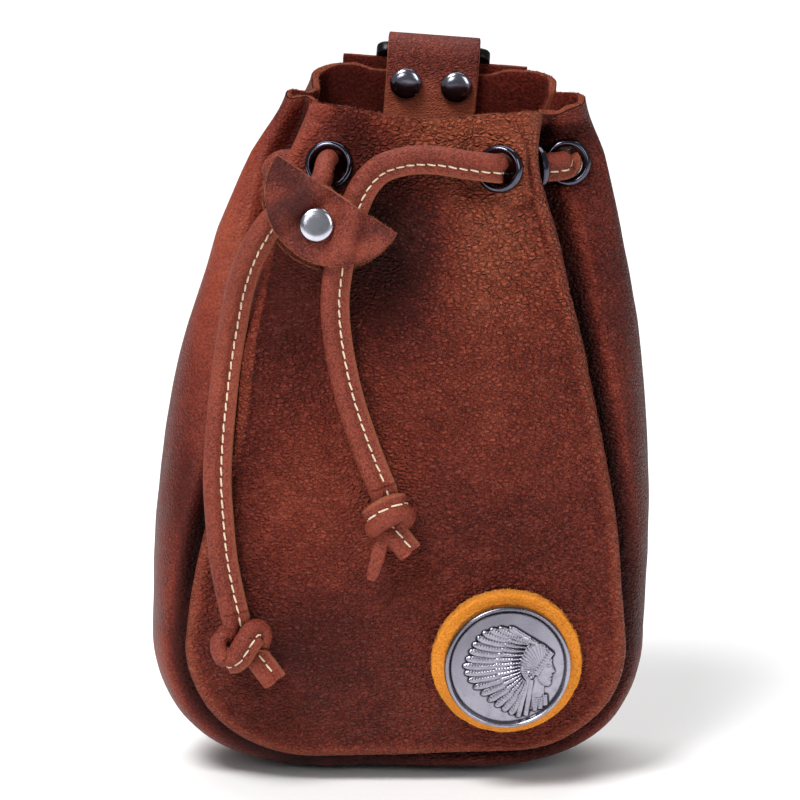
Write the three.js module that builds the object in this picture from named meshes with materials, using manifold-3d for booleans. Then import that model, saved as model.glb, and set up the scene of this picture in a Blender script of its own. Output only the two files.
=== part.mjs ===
// A leather drawstring belt pouch at real size, in millimetres, +Z up, its front facing -Y.
// The origin lies on the surface that the pouch stands on, under the middle of its box.
import * as THREE from "three";
import { mergeVertices } from "three/addons/utils/BufferGeometryUtils.js";
import Module from "manifold-3d";

const wasm = await Module();
wasm.setup();

// Driving sizes
const LEATHER = 2.0; // wall of the panels, gusset, strap and belt loop
const GAP = 0.3; // clearance between neighbouring pieces
const MIDPLANE_Y = 2.1; // puts the pouch's middle plane where its box is centred on the origin
const FOLD_RADIUS = 2.6; // outer radius of the panels' turned edges
const BACK_CROWN = 0.35; // the back panel bulges this share of the front panel's crown
const RIM_RISE = 5.6; // the back rim stands this much above the front rim
const RIM_SLOPE = 0.05; // the back rim falls this much for each millimetre to the right
const RIM_DIP = 0.4; // the front rim sags this much at its middle
const RIM_FROM = 118; // below this height the rim's rise and slope have died away
const RIM_LEAST = 160.5; // every part of the back rim is higher than this

// Rows of numbers under named columns.
const table = (columns, ...rows) =>
  rows.map((row) => Object.fromEntries(columns.split(" ").map((column, i) => [column, row[i]])));

// The body's levels, from the rim down to the top of the bottom corners.
// left, right: x of the panels' folds. sideLeft, sideRight: x of the gusset's outermost line.
// front, back: y of the panels at those folds. crown: how far the front bulges between them.
// turn: degrees that each panel's edge turns through. tuck: length of the strip behind the fold.
// spread: how much further out the back panel's right fold lies.
const LEVELS = table(
  "z left right sideLeft sideRight front back crown turn tuck spread",
  [159.8, -21.2, 33.2, -26.0, 42.6, -16.0, 16.0, 1.5, 115, 9.5, 4.0],
  [147, -27.2, 33.4, -37.2, 48.4, -18.8, 18.8, 2.5, 115, 12.0, 3.0],
  [130, -32.0, 37.2, -42.6, 52.2, -20.6, 20.3, 4.0, 125, 10.0, 1.0],
  [108, -36.4, 43.0, -50.2, 55.9, -22.0, 21.4, 5.5, 145, 8.0, 0],
  [84, -39.8, 49.0, -55.6, 58.4, -23.5, 22.6, 6.5, 165, 6.0, 0],
  [60, -46.8, 52.2, -58.4, 59.2, -24.5, 23.2, 6.5, 180, 5.0, 0],
  [34, -51.0, 53.3, -59.4, 58.4, -24.5, 23.2, 6.0, 180, 5.0, 0],
);

// Hollows in the front panel: where, how wide and tall, and how deep.
const HOLLOWS = table(
  "x z wide tall deep",
  [-24, 88, 9, 34, 1.8],
  [29, 127, 6, 16, 1.0],
  [2, 134, 14, 14, 0.8],
);

// The bottom: each corner is a quarter ellipse from the lowest level to the bottom's own line.
const BOTTOM = {
  left: { x: -20, fold: 6.2, outer: -28.5 },
  right: { x: 27, fold: 7.6, outer: 27.5 },
  front: -23,
  back: 22,
  reach: -2.2, // the gusset would hang this low if the surface below didn't flatten it
};
const SIDE_STEPS = 14;
const CORNER_STEPS = 5;
const FLOOR_STEPS = 4;
const ROLL_STEPS = 5;
const FACE_STEPS = 5;
const GUSSET_STEPS = 6;
const GUSSET_REACH = 0.68; // how far the gusset runs straight out from its seams
const GUSSET_FULL = 0.74; // how square its section then is, from 0 for a ridge to 1 for a box
const SPINE_LOW = 56; // where the panels' lines meet above the bottom
const SPINE_POWER = 1.25;

const EYELET = {
  hole: 3.75, barrel: 4.15, flange: 5.7, washer: 4.25, proud: 1.1, behind: 0.4, clear: 0.55,
  tuckAt: 4.9, // distance of the tucked strips' eyelets from the fold
  // x and z of the eyelets on the front and on the gusset's fin, and z behind the folds
  left: { front: -16.6, frontZ: 149.2, fin: -29.6, finZ: 140.8, z: 147.2 },
  right: { front: 23.0, frontZ: 148.2, fin: 39.2, finZ: 146.8, z: 146.8 },
};
const CORD_RADIUS = 2.4;
const CORD_SIDES = 8;

const LOOP = { x: 7.9, width: 43.6, top: 166.1, topZone: 9.5, bottom: 88, bottomZone: 10, bow: 7.4 };
const STRAP = {
  x: 7.3, width: 21.4, lean: 4.3, foldZ: 168.6, frontEnd: 152.6, backEnd: 157, outer: 0.5, inner: 1.15,
};
const RIVET = { spread: 12, z: 161.2, cap: 3.8, dome: 1.7, post: 1.2, clear: 0.7 };
const RING = {
  inside: 22.4, length: 11, bar: 2.4, bevel: 0.5, cornerRadius: 1.6,
  hang: 52, // degrees from straight down, where it meets the belt loop's top
  seatY: 0.6, seatZ: 1.0, // the bar's place in the strap's fold
};

const TOGGLE = {
  x: -19.4, y: -28.8, z: 136.9, radius: 16.7, slant: 33.4, lean: 11, snapAt: 8.3, pinch: 0.9,
};
const SNAP = { cap: 3.95, dome: 1.7, post: 1.2, back: 3.4 };
// Where each cord crosses the toggle: its offset along the straight edge, there and at the round edge.
const TOGGLE_CORDS = [
  { atChord: 4.6, atArc: 10.3 },
  { atChord: -4.9, atArc: -10.4 },
];

// The cord's way, in the finished part's own frame. The run goes from the toggle in through the front
// right eyelet, round that side's folds, along the inside of the back and out again on the left.
const CORDS = {
  run: [
    [-12.67, -27.25, 134.1], [-10.74, -25.9, 141.05], [-8.6, -24.9, 145.6], [-4.8, -23.4, 149.4],
    [1.5, -22.8, 151.4], [8.5, -22.6, 151.5], [15.3, -22.4, 150.4], [22.0, -21.1, 149.3],
    [23.05, -16.5, 148.3], [23.2, -12.6, 147.6], [26.0, -10.2, 147.1], [30.77, -8.35, 146.9],
    [34.6, -7.2, 146.9], [38.3, -5.2, 146.9], [39.2, -1.3, 146.9], [39.5, 2.1, 146.9],
    [39.2, 5.6, 146.9], [39.0, 9.2, 147.3], [37.2, 11.2, 147.9], [33.74, 12.54, 148.3],
    [29.8, 14.4, 148.4], [20.0, 16.0, 148.3], [7.0, 16.4, 148.3], [-7.0, 16.4, 148.5],
    [-16.0, 15.6, 149.0], [-20.4, 14.5, 149.3], [-24.11, 12.76, 149.96], [-27.7, 11.6, 149.3],
    [-30.0, 10.9, 145.8], [-30.2, 9.0, 142.1], [-29.6, 5.8, 140.8], [-29.6, 2.3, 140.8],
    [-29.6, -1.2, 140.8], [-30.1, -4.5, 142.0], [-29.9, -6.4, 145.4], [-27.6, -7.2, 147.7],
    [-24.11, -8.52, 147.6], [-20.4, -10.2, 147.4], [-17.4, -12.4, 148.3], [-16.67, -16.35, 149.3],
    [-17.2, -20.4, 149.9], [-18.67, -24.9, 146.2], [-24.45, -25.76, 141.75],
  ],
  runSteps: 88,
  leftEnd: [
    [-24.9, -25.85, 141.4], [-30.2, -27.0, 137.3], [-34.6, -24.6, 129.9], [-37.6, -20.8, 120.8],
    [-39.4, -18.4, 111.3], [-40.9, -17.8, 101.8], [-42.0, -19.0, 92.7], [-42.8, -21.8, 84.3],
    [-43.2, -24.5, 75.4], [-42.7, -25.9, 66.0], [-41.8, -26.8, 56.5], [-40.4, -27.4, 48.9],
    [-38.9, -28.1, 42.3],
  ],
  leftSteps: 18,
  rightEnd: [
    [-12.85, -27.4, 133.65], [-14.5, -28.5, 127.3], [-15.4, -28.2, 119.8], [-15.1, -27.8, 112.2],
    [-13.9, -28.1, 104.0], [-12.0, -29.0, 95.8], [-9.2, -30.2, 87.1], [-6.3, -31.1, 79.4],
    [-4.1, -32.0, 74.2],
  ],
  rightSteps: 12,
};
// Each knot's middle, its half sizes, and where its loose tails point, in the front's plane.
const KNOTS = {
  left: { at: [-37.0, -28.9, 36.0], half: [6.4, 4.2, 6.0], tails: [{ x: 7.2, z: -8.2 }] },
  right: {
    at: [-2.6, -33.1, 68.0], half: [6.2, 4.2, 6.0],
    tails: [{ x: -4.2, z: -15.0 }, { x: 5.0, z: -7.6 }],
  },
  tailRadius: 2.3,
};

const CONCHO = {
  x: 25.1, z: 31.4, disc: 18.1, discThick: 2.6, coin: 15.0, rim: 13.6, coinThick: 2.6, field: 1.9,
};

const MATERIALS = {
  leather: { color: 0x6e3528, roughness: 0.62, metalness: 0 },
  cordLeather: { color: 0x8f4b3c, roughness: 0.55, metalness: 0 },
  orangeLeather: { color: 0xd88630, roughness: 0.7, metalness: 0 },
  gunmetal: { color: 0x3c3a44, roughness: 0.22, metalness: 1 },
  pewter: { color: 0x9593a0, roughness: 0.35, metalness: 1 },
  blackMetal: { color: 0x101014, roughness: 0.4, metalness: 0.8 },
};
for (const [name, look] of Object.entries(MATERIALS)) {
  MATERIALS[name] = new THREE.MeshStandardMaterial(look);
}

const radians = THREE.MathUtils.degToRad;
const lerp = THREE.MathUtils.lerp;
const clamp = THREE.MathUtils.clamp;
const vec = (x, y, z) => new THREE.Vector3(x, y, z);
const FRONT = -1;
const BACK = 1;

// Solids and booleans

function toSolid(geometry) {
  const bare = geometry.clone();
  bare.deleteAttribute("normal");
  bare.deleteAttribute("uv");
  const merged = mergeVertices(bare, 1e-4);
  return new wasm.Manifold(
    new wasm.Mesh({
      numProp: 3,
      vertProperties: new Float32Array(merged.attributes.position.array),
      triVerts: new Uint32Array(merged.index.array),
    }),
  );
}

function toGeometry(solid) {
  const { vertProperties, triVerts } = solid.getMesh();
  const geometry = new THREE.BufferGeometry();
  geometry.setAttribute("position", new THREE.BufferAttribute(vertProperties, 3));
  geometry.setIndex(new THREE.BufferAttribute(triVerts, 1));
  return geometry;
}

// Removes each tool from a geometry.
function cut(geometry, tools) {
  const solid = tools.reduce((body, tool) => body.subtract(toSolid(tool)), toSolid(geometry));
  return toGeometry(solid);
}

function join(...pieces) {
  return toGeometry(pieces.map(toSolid).reduce((body, piece) => body.add(piece)));
}

// A sheet's outward side, as points and triangles, becomes a closed wall of the given thickness.
function wall(points, triangles, thickness) {
  const normals = points.map(() => vec(0, 0, 0));
  for (const [a, b, c] of triangles) {
    const across = points[b].clone().sub(points[a]);
    const normal = across.cross(points[c].clone().sub(points[a]));
    for (const corner of [a, b, c]) normals[corner].add(normal);
  }
  const inner = points.map((p, i) => p.clone().addScaledVector(normals[i].normalize(), -thickness));
  const count = points.length;
  const faces = [];
  const directed = new Set();
  for (const [a, b, c] of triangles) {
    faces.push(a, b, c, c + count, b + count, a + count);
    for (const [from, to] of [[a, b], [b, c], [c, a]]) directed.add(`${from},${to}`);
  }
  for (const edge of directed) {
    const [from, to] = edge.split(",").map(Number);
    if (directed.has(`${to},${from}`)) continue;
    faces.push(to, from, from + count, to, from + count, to + count);
  }
  const geometry = new THREE.BufferGeometry().setFromPoints([...points, ...inner]);
  geometry.setIndex(faces);
  return geometry;
}

// Triangles of a grid of rows and columns, wound along the rows first, or the other way if flipped.
function gridTriangles(rows, columns, at, flipped = false) {
  const triangles = [];
  for (let i = 0; i + 1 < rows; i++) {
    for (let j = 0; j + 1 < columns; j++) {
      const [a, b, c, d] = [at(i, j), at(i + 1, j), at(i + 1, j + 1), at(i, j + 1)];
      triangles.push(flipped ? [a, c, b] : [a, b, c], flipped ? [a, d, c] : [a, c, d]);
    }
  }
  return triangles;
}

// The body's outline

// A level between two rows of the table, on a smooth curve through each column.
function levelAt(z) {
  const last = LEVELS.length - 1;
  let row = LEVELS.findIndex((level, i) => i < last && z >= LEVELS[i + 1].z);
  if (row < 0) row = last - 1;
  const share = clamp((LEVELS[row].z - z) / (LEVELS[row].z - LEVELS[row + 1].z), 0, 1);
  const near = [-1, 0, 1, 2].map((step) => LEVELS[clamp(row + step, 0, last)]);
  const level = {};
  for (const column of Object.keys(LEVELS[0])) {
    const [before, from, to, after] = near.map((r) => r[column]);
    const slopes = [(to - before) / 2, (after - from) / 2];
    const [s, s2, s3] = [share, share ** 2, share ** 3];
    level[column] = from * (2 * s3 - 3 * s2 + 1) + to * (3 * s2 - 2 * s3)
      + slopes[0] * (s3 - 2 * s2 + s) + slopes[1] * (s3 - s2);
  }
  level.z = z;
  return level;
}

// One station of the U that runs down the left side, along the bottom and up the right side.
// fold is the panels' edge and outer the gusset's outermost line, both in the XZ plane.
function station(fold, outer, level) {
  const out = outer.clone().sub(fold).normalize();
  return { fold, outer, out, ...level };
}

function sideStation(side, z) {
  const level = levelAt(z);
  const [foldX, outerX] = side < 0 ? [level.left, level.sideLeft] : [level.right, level.sideRight];
  return station(vec(foldX, 0, z), vec(outerX, 0, z), level);
}

function cornerStation(side, share) {
  const low = LEVELS[LEVELS.length - 1];
  const corner = side < 0 ? BOTTOM.left : BOTTOM.right;
  const [foldX, outerX] = side < 0 ? [low.left, low.sideLeft] : [low.right, low.sideRight];
  const [across, down] = [Math.cos(share * Math.PI / 2), Math.sin(share * Math.PI / 2)];
  const fold = vec(lerp(corner.x, foldX, across), 0, lerp(low.z, corner.fold, down));
  const outer = vec(lerp(corner.outer, outerX, across), 0, lerp(low.z, BOTTOM.reach, down));
  const depth = { front: lerp(low.front, BOTTOM.front, share), back: lerp(low.back, BOTTOM.back, share) };
  return station(fold, outer, { ...low, ...depth });
}

function floorStation(share) {
  const low = LEVELS[LEVELS.length - 1];
  const { left, right, reach } = BOTTOM;
  const fold = vec(lerp(left.x, right.x, share), 0, lerp(left.fold, right.fold, share));
  const outer = vec(lerp(left.outer, right.outer, share), 0, reach);
  return station(fold, outer, { ...low, front: BOTTOM.front, back: BOTTOM.back });
}

function buildStations() {
  const top = LEVELS[0].z;
  const low = LEVELS[LEVELS.length - 1].z;
  const left = [];
  const right = [];
  for (let i = 0; i < SIDE_STEPS; i++) {
    const z = lerp(top, low, i / SIDE_STEPS);
    left.push(sideStation(-1, z));
    right.push(sideStation(1, z));
  }
  for (let i = 0; i < CORNER_STEPS; i++) {
    left.push(cornerStation(-1, i / CORNER_STEPS));
    right.push(cornerStation(1, i / CORNER_STEPS));
  }
  const floor = [];
  for (let i = 0; i <= FLOOR_STEPS; i++) floor.push(floorStation(i / FLOOR_STEPS));
  return [...left, ...floor, ...right.reverse()];
}

const STATIONS = buildStations();
const MIDDLE = (STATIONS.length - 1) / 2;

// The rim's rise towards the back, its fall to the right and the front's dip, and the floor's flattening.
function settle(point) {
  const high = clamp((point.z - RIM_FROM) / (LEVELS[0].z - RIM_FROM), 0, 1) ** 2;
  const behind = clamp((point.y - LEVELS[0].front) / (LEVELS[0].back - LEVELS[0].front), 0, 1) ** 1.5;
  const centre = (LEVELS[0].left + LEVELS[0].right) / 2;
  const half = (LEVELS[0].right - LEVELS[0].left) / 2;
  const middle = Math.max(0, 1 - ((point.x - centre) / half) ** 2);
  const lift = behind * (RIM_RISE - RIM_SLOPE * (point.x - centre)) - (1 - behind) * RIM_DIP * middle;
  return vec(point.x, point.y, Math.max(point.z + high * lift, 0));
}

// A point on a panel's turned edge: angle 0 is its face, and past turn runs the straight tucked strip.
function foldPoint(s, facing, angle, along = 0) {
  const faceY = facing === FRONT ? s.front : s.back;
  const [sin, cos] = [Math.sin(angle), Math.cos(angle)];
  const outward = FOLD_RADIUS * (sin - 1) + along * cos;
  const point = s.fold.clone().addScaledVector(s.out, outward);
  if (facing === BACK && s.out.x > 0) point.x += s.spread;
  point.y = faceY - facing * (FOLD_RADIUS * (1 - cos) + along * sin);
  return point;
}

// The line up the middle of a panel where its left and right halves meet.
function spinePoint(row) {
  const share = (1 - row / MIDDLE) ** SPINE_POWER;
  return lerp(SPINE_LOW, LEVELS[0].z, share);
}

function hollow({ x, z }) {
  const away = (h) => ((x - h.x) / h.wide) ** 2 + ((z - h.z) / h.tall) ** 2;
  return HOLLOWS.reduce((sum, h) => sum + h.deep * Math.exp(-away(h)), 0);
}

function panelPoints(s, row, facing) {
  const turn = radians(s.turn);
  const points = [foldPoint(s, facing, turn, s.tuck), foldPoint(s, facing, turn, s.tuck / 2)];
  for (let i = ROLL_STEPS; i >= 0; i--) points.push(foldPoint(s, facing, turn * i / ROLL_STEPS));
  const edge = points[points.length - 1];
  const mid = levelAt(spinePoint(row));
  const spine = vec((mid.left + mid.right) / 2, facing === FRONT ? mid.front : mid.back, mid.z);
  const bulge = facing * mid.crown * (facing === BACK ? BACK_CROWN : 1);
  for (let i = 1; i <= FACE_STEPS; i++) {
    const share = i / FACE_STEPS;
    const point = edge.clone().lerp(spine, share);
    point.y += bulge * (1 - (1 - share) ** 2);
    if (facing === FRONT) point.y += hollow(point);
    points.push(point);
  }
  return points.map(settle);
}

// A panel is a fan of lines from its turned edge to its middle line, which both halves share.
function panel(facing) {
  const points = [];
  const index = [];
  STATIONS.forEach((s, i) => {
    const row = Math.min(i, STATIONS.length - 1 - i);
    const line = panelPoints(s, row, facing);
    index.push(line.map((point, j) => {
      const shared = i > MIDDLE && j === line.length - 1;
      if (shared) return index[row][j];
      points.push(point);
      return points.length - 1;
    }));
  });
  const triangles = gridTriangles(index.length, index[0].length, (i, j) => index[i][j], facing === BACK);
  return wall(points, triangles, LEATHER);
}

// The gusset's section at a station: out from the front seam, round its outermost line, back to the other.
function gussetPoints(s) {
  const middleY = (s.front + s.back) / 2;
  const halves = [FRONT, BACK].map((facing) => {
    const seam = foldPoint(s, facing, radians(s.turn), s.tuck);
    seam.y -= facing * GAP;
    const reach = s.outer.clone().sub(seam).setY(0).length();
    const depth = Math.abs(seam.y - middleY);
    const leave = seam.clone().addScaledVector(s.out, reach * GUSSET_REACH);
    const arrive = vec(s.outer.x, middleY + facing * (depth * GUSSET_FULL + 0.8), s.outer.z);
    const curve = new THREE.CubicBezierCurve3(seam, leave, arrive, vec(s.outer.x, middleY, s.outer.z));
    return curve.getPoints(GUSSET_STEPS);
  });
  const section = [...halves[0], ...halves[1].reverse().slice(1)];
  return section.map(settle);
}

function gusset() {
  const sections = STATIONS.map(gussetPoints);
  const columns = sections[0].length;
  const triangles = gridTriangles(sections.length, columns, (i, j) => i * columns + j, true);
  return wall(sections.flat(), triangles, LEATHER);
}

const shells = { front: panel(FRONT), gusset: gusset(), back: panel(BACK) };

// Round hardware, made along +Z and then turned to its seat

function turned(profile, segments) {
  const geometry = new THREE.LatheGeometry(profile.map(([r, z]) => new THREE.Vector2(r, z)), segments);
  return geometry.rotateX(Math.PI / 2);
}

function seated(geometry, seat) {
  const turn = new THREE.Quaternion().setFromUnitVectors(vec(0, 0, 1), seat.normal);
  return geometry.applyQuaternion(turn).translate(seat.point.x, seat.point.y, seat.point.z);
}

// Where a line meets a wall's nearer side, with the wall's normal there.
function seatOn(geometry, from, towards) {
  const mesh = new THREE.Mesh(geometry, new THREE.MeshBasicMaterial({ side: THREE.DoubleSide }));
  const ray = new THREE.Raycaster(from, towards.clone().normalize());
  const [hit] = ray.intersectObject(mesh);
  return { point: hit.point, normal: hit.face.normal.clone() };
}

function eyelet() {
  const { hole, barrel, flange, washer, proud, behind } = EYELET;
  const under = -(LEATHER + EYELET.clear);
  const over = EYELET.clear;
  const crest = (hole + flange) / 2;
  return turned(
    [
      [hole, under - behind], [washer, under - behind], [washer, under], [barrel, under], [barrel, over],
      [flange, over], [flange - 0.4, over + proud * 0.7], [crest, over + proud], [hole, over + proud * 0.4],
      [hole, under - behind],
    ],
    12,
  );
}

function punch(radius, seat, depth = 6) {
  const tool = new THREE.CylinderGeometry(radius, radius, depth, 16).rotateX(Math.PI / 2);
  return seated(tool, seat);
}

function cap(radius, dome) {
  const steps = [[1, 0], [1, 0.35], [0.8, 0.75], [0.45, 0.95], [0, 1]];
  return steps.map(([r, z]) => [radius * r, dome * z]);
}

// A post with a domed cap at each end. The front cap sits on the seat and the back cap at -length.
function rivet(frontCap, backCap, dome, post, length) {
  const back = cap(backCap, dome * 0.7).map(([r, z]) => [r, -length - z]).reverse();
  return turned([...back, [post, -length], [post, 0], ...cap(frontCap, dome)], 14);
}

// The back panel's outermost point across the belt loop's width, at a height below its rim.
function backY(z) {
  const high = Math.min(z, RIM_LEAST);
  const across = [-0.5, -0.25, 0, 0.25, 0.5].map((share) => LOOP.x + share * LOOP.width);
  return Math.max(...across.map((x) => seatOn(shells.back, vec(x, 90, high), vec(0, -1, 0)).point.y));
}

// A leather strip of constant width: its outward side follows a path in the YZ plane.
function strip(path, centreX, width, columns) {
  const points = [];
  for (const { y, z } of path) {
    for (let j = 0; j <= columns; j++) points.push(vec(centreX + width * (j / columns - 0.5), y, z));
  }
  const triangles = gridTriangles(path.length, columns + 1, (i, j) => i * (columns + 1) + j, true);
  return wall(points, triangles, LEATHER);
}

// Sewn flat at its two ends, and bowed between them for the belt.
function beltLoop() {
  const high = LOOP.top - LOOP.topZone;
  const path = [];
  const steps = 18;
  for (let i = 0; i <= steps; i++) {
    const z = lerp(LOOP.top, LOOP.bottom, i / steps);
    const inside = (high - z) / (high - LOOP.bottom - LOOP.bottomZone);
    const bow = inside > 0 && inside < 1 ? LOOP.bow * Math.min(1, 1.35 * Math.sin(inside * Math.PI)) : 0;
    path.push({ y: backY(z) + GAP + LEATHER + bow, z });
  }
  return strip(path, LOOP.x, LOOP.width, 1);
}

// Down the inside of the back wall, over the ring's bar, and down outside the belt loop's top.
function strapPath() {
  const frontY = (z) => backY(z) - 2 * LEATHER - STRAP.inner;
  const rearY = (z) => backY(z) + 2 * LEATHER + 2 * STRAP.outer;
  const [near, far] = [frontY(STRAP.foldZ), rearY(STRAP.foldZ)];
  const radius = (far - near) / 2;
  const path = [];
  for (const z of [STRAP.frontEnd, 157.5, 163]) path.push({ y: frontY(z), z });
  const bends = 10;
  for (let i = 0; i <= bends; i++) {
    const angle = Math.PI * (1 - i / bends);
    path.push({ y: near + radius + radius * Math.cos(angle), z: STRAP.foldZ + radius * Math.sin(angle) });
  }
  for (const z of [163, 158.5, STRAP.backEnd]) path.push({ y: rearY(z), z });
  return { path, centreY: near + radius, frontY: frontY(RIVET.z), rearY: rearY(RIVET.z) };
}

function ringGeometry() {
  const { inside, length, bar, bevel, cornerRadius } = RING;
  const rounded = (width, low, high, radius) => {
    const shape = new THREE.Shape();
    const half = width / 2;
    shape.moveTo(half - radius, low);
    shape.absarc(half - radius, low + radius, radius, -Math.PI / 2, 0);
    shape.absarc(half - radius, high - radius, radius, 0, Math.PI / 2);
    shape.absarc(-half + radius, high - radius, radius, Math.PI / 2, Math.PI);
    shape.absarc(-half + radius, low + radius, radius, Math.PI, Math.PI * 1.5);
    return shape;
  };
  const slim = bar - 2 * bevel;
  const far = length + bar;
  const outline = rounded(inside + 2 * (bar - bevel), -slim / 2, far + slim / 2, cornerRadius + slim);
  const hole = rounded(inside + 2 * bevel, slim / 2, far - slim / 2, cornerRadius);
  outline.holes.push(hole);
  const edges = { bevelThickness: bevel, bevelSize: bevel, bevelSegments: 1 };
  const options = { depth: slim, curveSegments: 3, ...edges };
  return new THREE.ExtrudeGeometry(outline, options).translate(0, 0, -slim / 2);
}

// The toggle: two half discs of leather closed round both cords by a snap

function cordOffset(a, b) {
  const share = b / TOGGLE.radius;
  return Math.min(...TOGGLE_CORDS.map(({ atChord, atArc }) => Math.abs(a - lerp(atChord, atArc, share))));
}

function toggleHeight(a, b) {
  const full = CORD_RADIUS + 0.85;
  return TOGGLE.pinch + (full - TOGGLE.pinch) * Math.exp(-((cordOffset(a, b) / 3.3) ** 4));
}

function toggleHalf(side) {
  const [rings, spokes] = [5, 16];
  const points = [vec(0, 0, side * (toggleHeight(0, 0) + LEATHER))];
  for (let i = 1; i <= rings; i++) {
    for (let j = 0; j <= spokes; j++) {
      const radius = TOGGLE.radius * i / rings;
      const [a, b] = [radius * Math.cos(Math.PI * j / spokes), radius * Math.sin(Math.PI * j / spokes)];
      points.push(vec(a, b, side * (toggleHeight(a, b) + LEATHER)));
    }
  }
  const at = (i, j) => (i === 0 ? 0 : 1 + (i - 1) * (spokes + 1) + j);
  const triangles = gridTriangles(rings + 1, spokes + 1, at, side < 0);
  return wall(points, triangles.filter(([a, b, c]) => a !== b && b !== c && c !== a), LEATHER);
}

// Cords: an open tube's route is a list of points, and each end is flat

function tube(route, steps) {
  const angles = Array.from({ length: CORD_SIDES }, (_, k) => (2 * Math.PI * k) / CORD_SIDES);
  const corner = (a) => new THREE.Vector2(CORD_RADIUS * Math.cos(a), CORD_RADIUS * Math.sin(a));
  const ring = new THREE.Shape(angles.map(corner));
  const path = new THREE.CatmullRomCurve3(route.map(([x, y, z]) => vec(x, y, z)), false, "centripetal");
  return new THREE.ExtrudeGeometry(ring, { steps, extrudePath: path, bevelEnabled: false });
}

// A knot's outer form: a flattened ball with its tails, each a flattened rod from its middle.
function knot({ at, half, tails }) {
  const ball = new THREE.SphereGeometry(1, 14, 10).scale(...half);
  const rods = tails.map(({ x, z }) => {
    const rod = new THREE.CylinderGeometry(KNOTS.tailRadius, KNOTS.tailRadius, Math.hypot(x, z), 8);
    rod.rotateY(Math.PI / 8).scale(1, 1, 0.7).rotateX(Math.PI / 2);
    rod.rotateY(Math.atan2(x, z)).translate(x / 2, 0, z / 2);
    return rod;
  });
  return join(ball, ...rods).translate(...at);
}

const pouch = new THREE.Group();
pouch.position.y = MIDPLANE_Y;

function add(name, geometry, material, parent = pouch) {
  const mesh = new THREE.Mesh(geometry, material);
  mesh.name = name;
  parent.add(mesh);
  return mesh;
}

// Eyelet seats, five on each side along the drawstring's way from the front to the back

function tuckSeat(side, facing, z) {
  const s = sideStation(side, z);
  const turn = radians(s.turn);
  const normal = s.out.clone().multiplyScalar(Math.sin(turn)).add(vec(0, facing * Math.cos(turn), 0));
  const outside = settle(foldPoint(s, facing, turn, EYELET.tuckAt)).addScaledVector(normal, 4);
  return seatOn(facing === FRONT ? shells.front : shells.back, outside, normal.negate());
}

const eyelets = [];
for (const [side, label] of [[-1, "left"], [1, "right"]]) {
  const { front, frontZ, fin, finZ, z } = EYELET[label];
  const seats = {
    front: ["front", seatOn(shells.front, vec(front, -90, frontZ), vec(0, 1, 0))],
    tuck: ["front", tuckSeat(side, FRONT, z)],
    fin_front: ["gusset", seatOn(shells.gusset, vec(fin, -90, finZ), vec(0, 1, 0))],
    fin_rear: ["gusset", seatOn(shells.gusset, vec(fin, 90, finZ), vec(0, -1, 0))],
    rear: ["back", tuckSeat(side, BACK, z)],
  };
  for (const [place, [on, seat]] of Object.entries(seats)) {
    eyelets.push({ name: `eyelet_${place}_${label}`, on, seat });
  }
}
const holes = { front: [], gusset: [], back: [] };
for (const { name, on, seat } of eyelets) {
  holes[on].push(punch(EYELET.barrel + GAP, seat));
  add(name, seated(eyelet(), seat), MATERIALS.gunmetal);
}

// The strap leans a little to the right about its rivets, and the ring swings in its fold.
const strap = strapPath();
function lean(geometry) {
  geometry.translate(-STRAP.x, 0, -RIVET.z);
  return geometry.rotateY(radians(STRAP.lean)).translate(STRAP.x, 0, RIVET.z);
}
const rivetHoles = [];
for (const [label, share] of [["left", -0.5], ["right", 0.5]]) {
  const point = vec(STRAP.x + share * RIVET.spread, strap.frontY - RIVET.clear, RIVET.z);
  const seat = { point, normal: vec(0, -1, 0) };
  const length = strap.rearY - strap.frontY + 2 * RIVET.clear;
  const body = rivet(RIVET.cap, RIVET.cap, RIVET.dome, RIVET.post, length);
  add(`strap_rivet_${label}`, lean(seated(body, seat)), MATERIALS.gunmetal);
  rivetHoles.push(lean(punch(RIVET.post + GAP, seat, 40)));
}
const band = lean(strip(strap.path, STRAP.x, STRAP.width, 1));
add("hanger_strap", cut(band, rivetHoles), MATERIALS.cordLeather);
const ring = ringGeometry().rotateX(radians(RING.hang - 90));
ring.translate(STRAP.x, strap.centreY + RING.seatY, STRAP.foldZ + RING.seatZ);
add("hanger_ring", lean(ring), MATERIALS.blackMetal);
add("belt_loop", cut(lean(beltLoop()), rivetHoles), MATERIALS.leather);

add("front_panel", cut(shells.front, holes.front), MATERIALS.leather);
add("gusset", cut(shells.gusset, holes.gusset), MATERIALS.leather);
add("back_panel", cut(shells.back, [...holes.back, ...rivetHoles]), MATERIALS.leather);

// The toggle's own frame: x along its straight edge, y towards its round edge, z outward.
const toggle = new THREE.Group();
toggle.position.set(TOGGLE.x, TOGGLE.y, TOGGLE.z);
const slant = radians(TOGGLE.slant);
const facing = new THREE.Matrix4().makeBasis(
  vec(-Math.cos(slant), 0, Math.sin(slant)),
  vec(-Math.sin(slant), 0, -Math.cos(slant)),
  vec(0, -1, 0),
);
const leaning = new THREE.Matrix4().makeRotationX(-radians(TOGGLE.lean));
toggle.quaternion.setFromRotationMatrix(leaning.multiply(facing));
pouch.add(toggle);
const snapTop = toggleHeight(SNAP.cap, TOGGLE.snapAt) + LEATHER + 2 * GAP;
const snapSeat = { point: vec(0, TOGGLE.snapAt, snapTop), normal: vec(0, 0, 1) };
const snapHole = [punch(SNAP.post + GAP, snapSeat, 20)];
const atSnap = (geometry) => geometry.translate(0, -TOGGLE.snapAt, 0);
add("toggle_front", atSnap(cut(toggleHalf(1), snapHole)), MATERIALS.cordLeather, toggle);
add("toggle_back", atSnap(cut(toggleHalf(-1), snapHole)), MATERIALS.cordLeather, toggle);
const snap = rivet(SNAP.cap, SNAP.back, SNAP.dome, SNAP.post, 2 * snapTop);
add("toggle_snap", atSnap(seated(snap, snapSeat)), MATERIALS.gunmetal, toggle);

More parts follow.
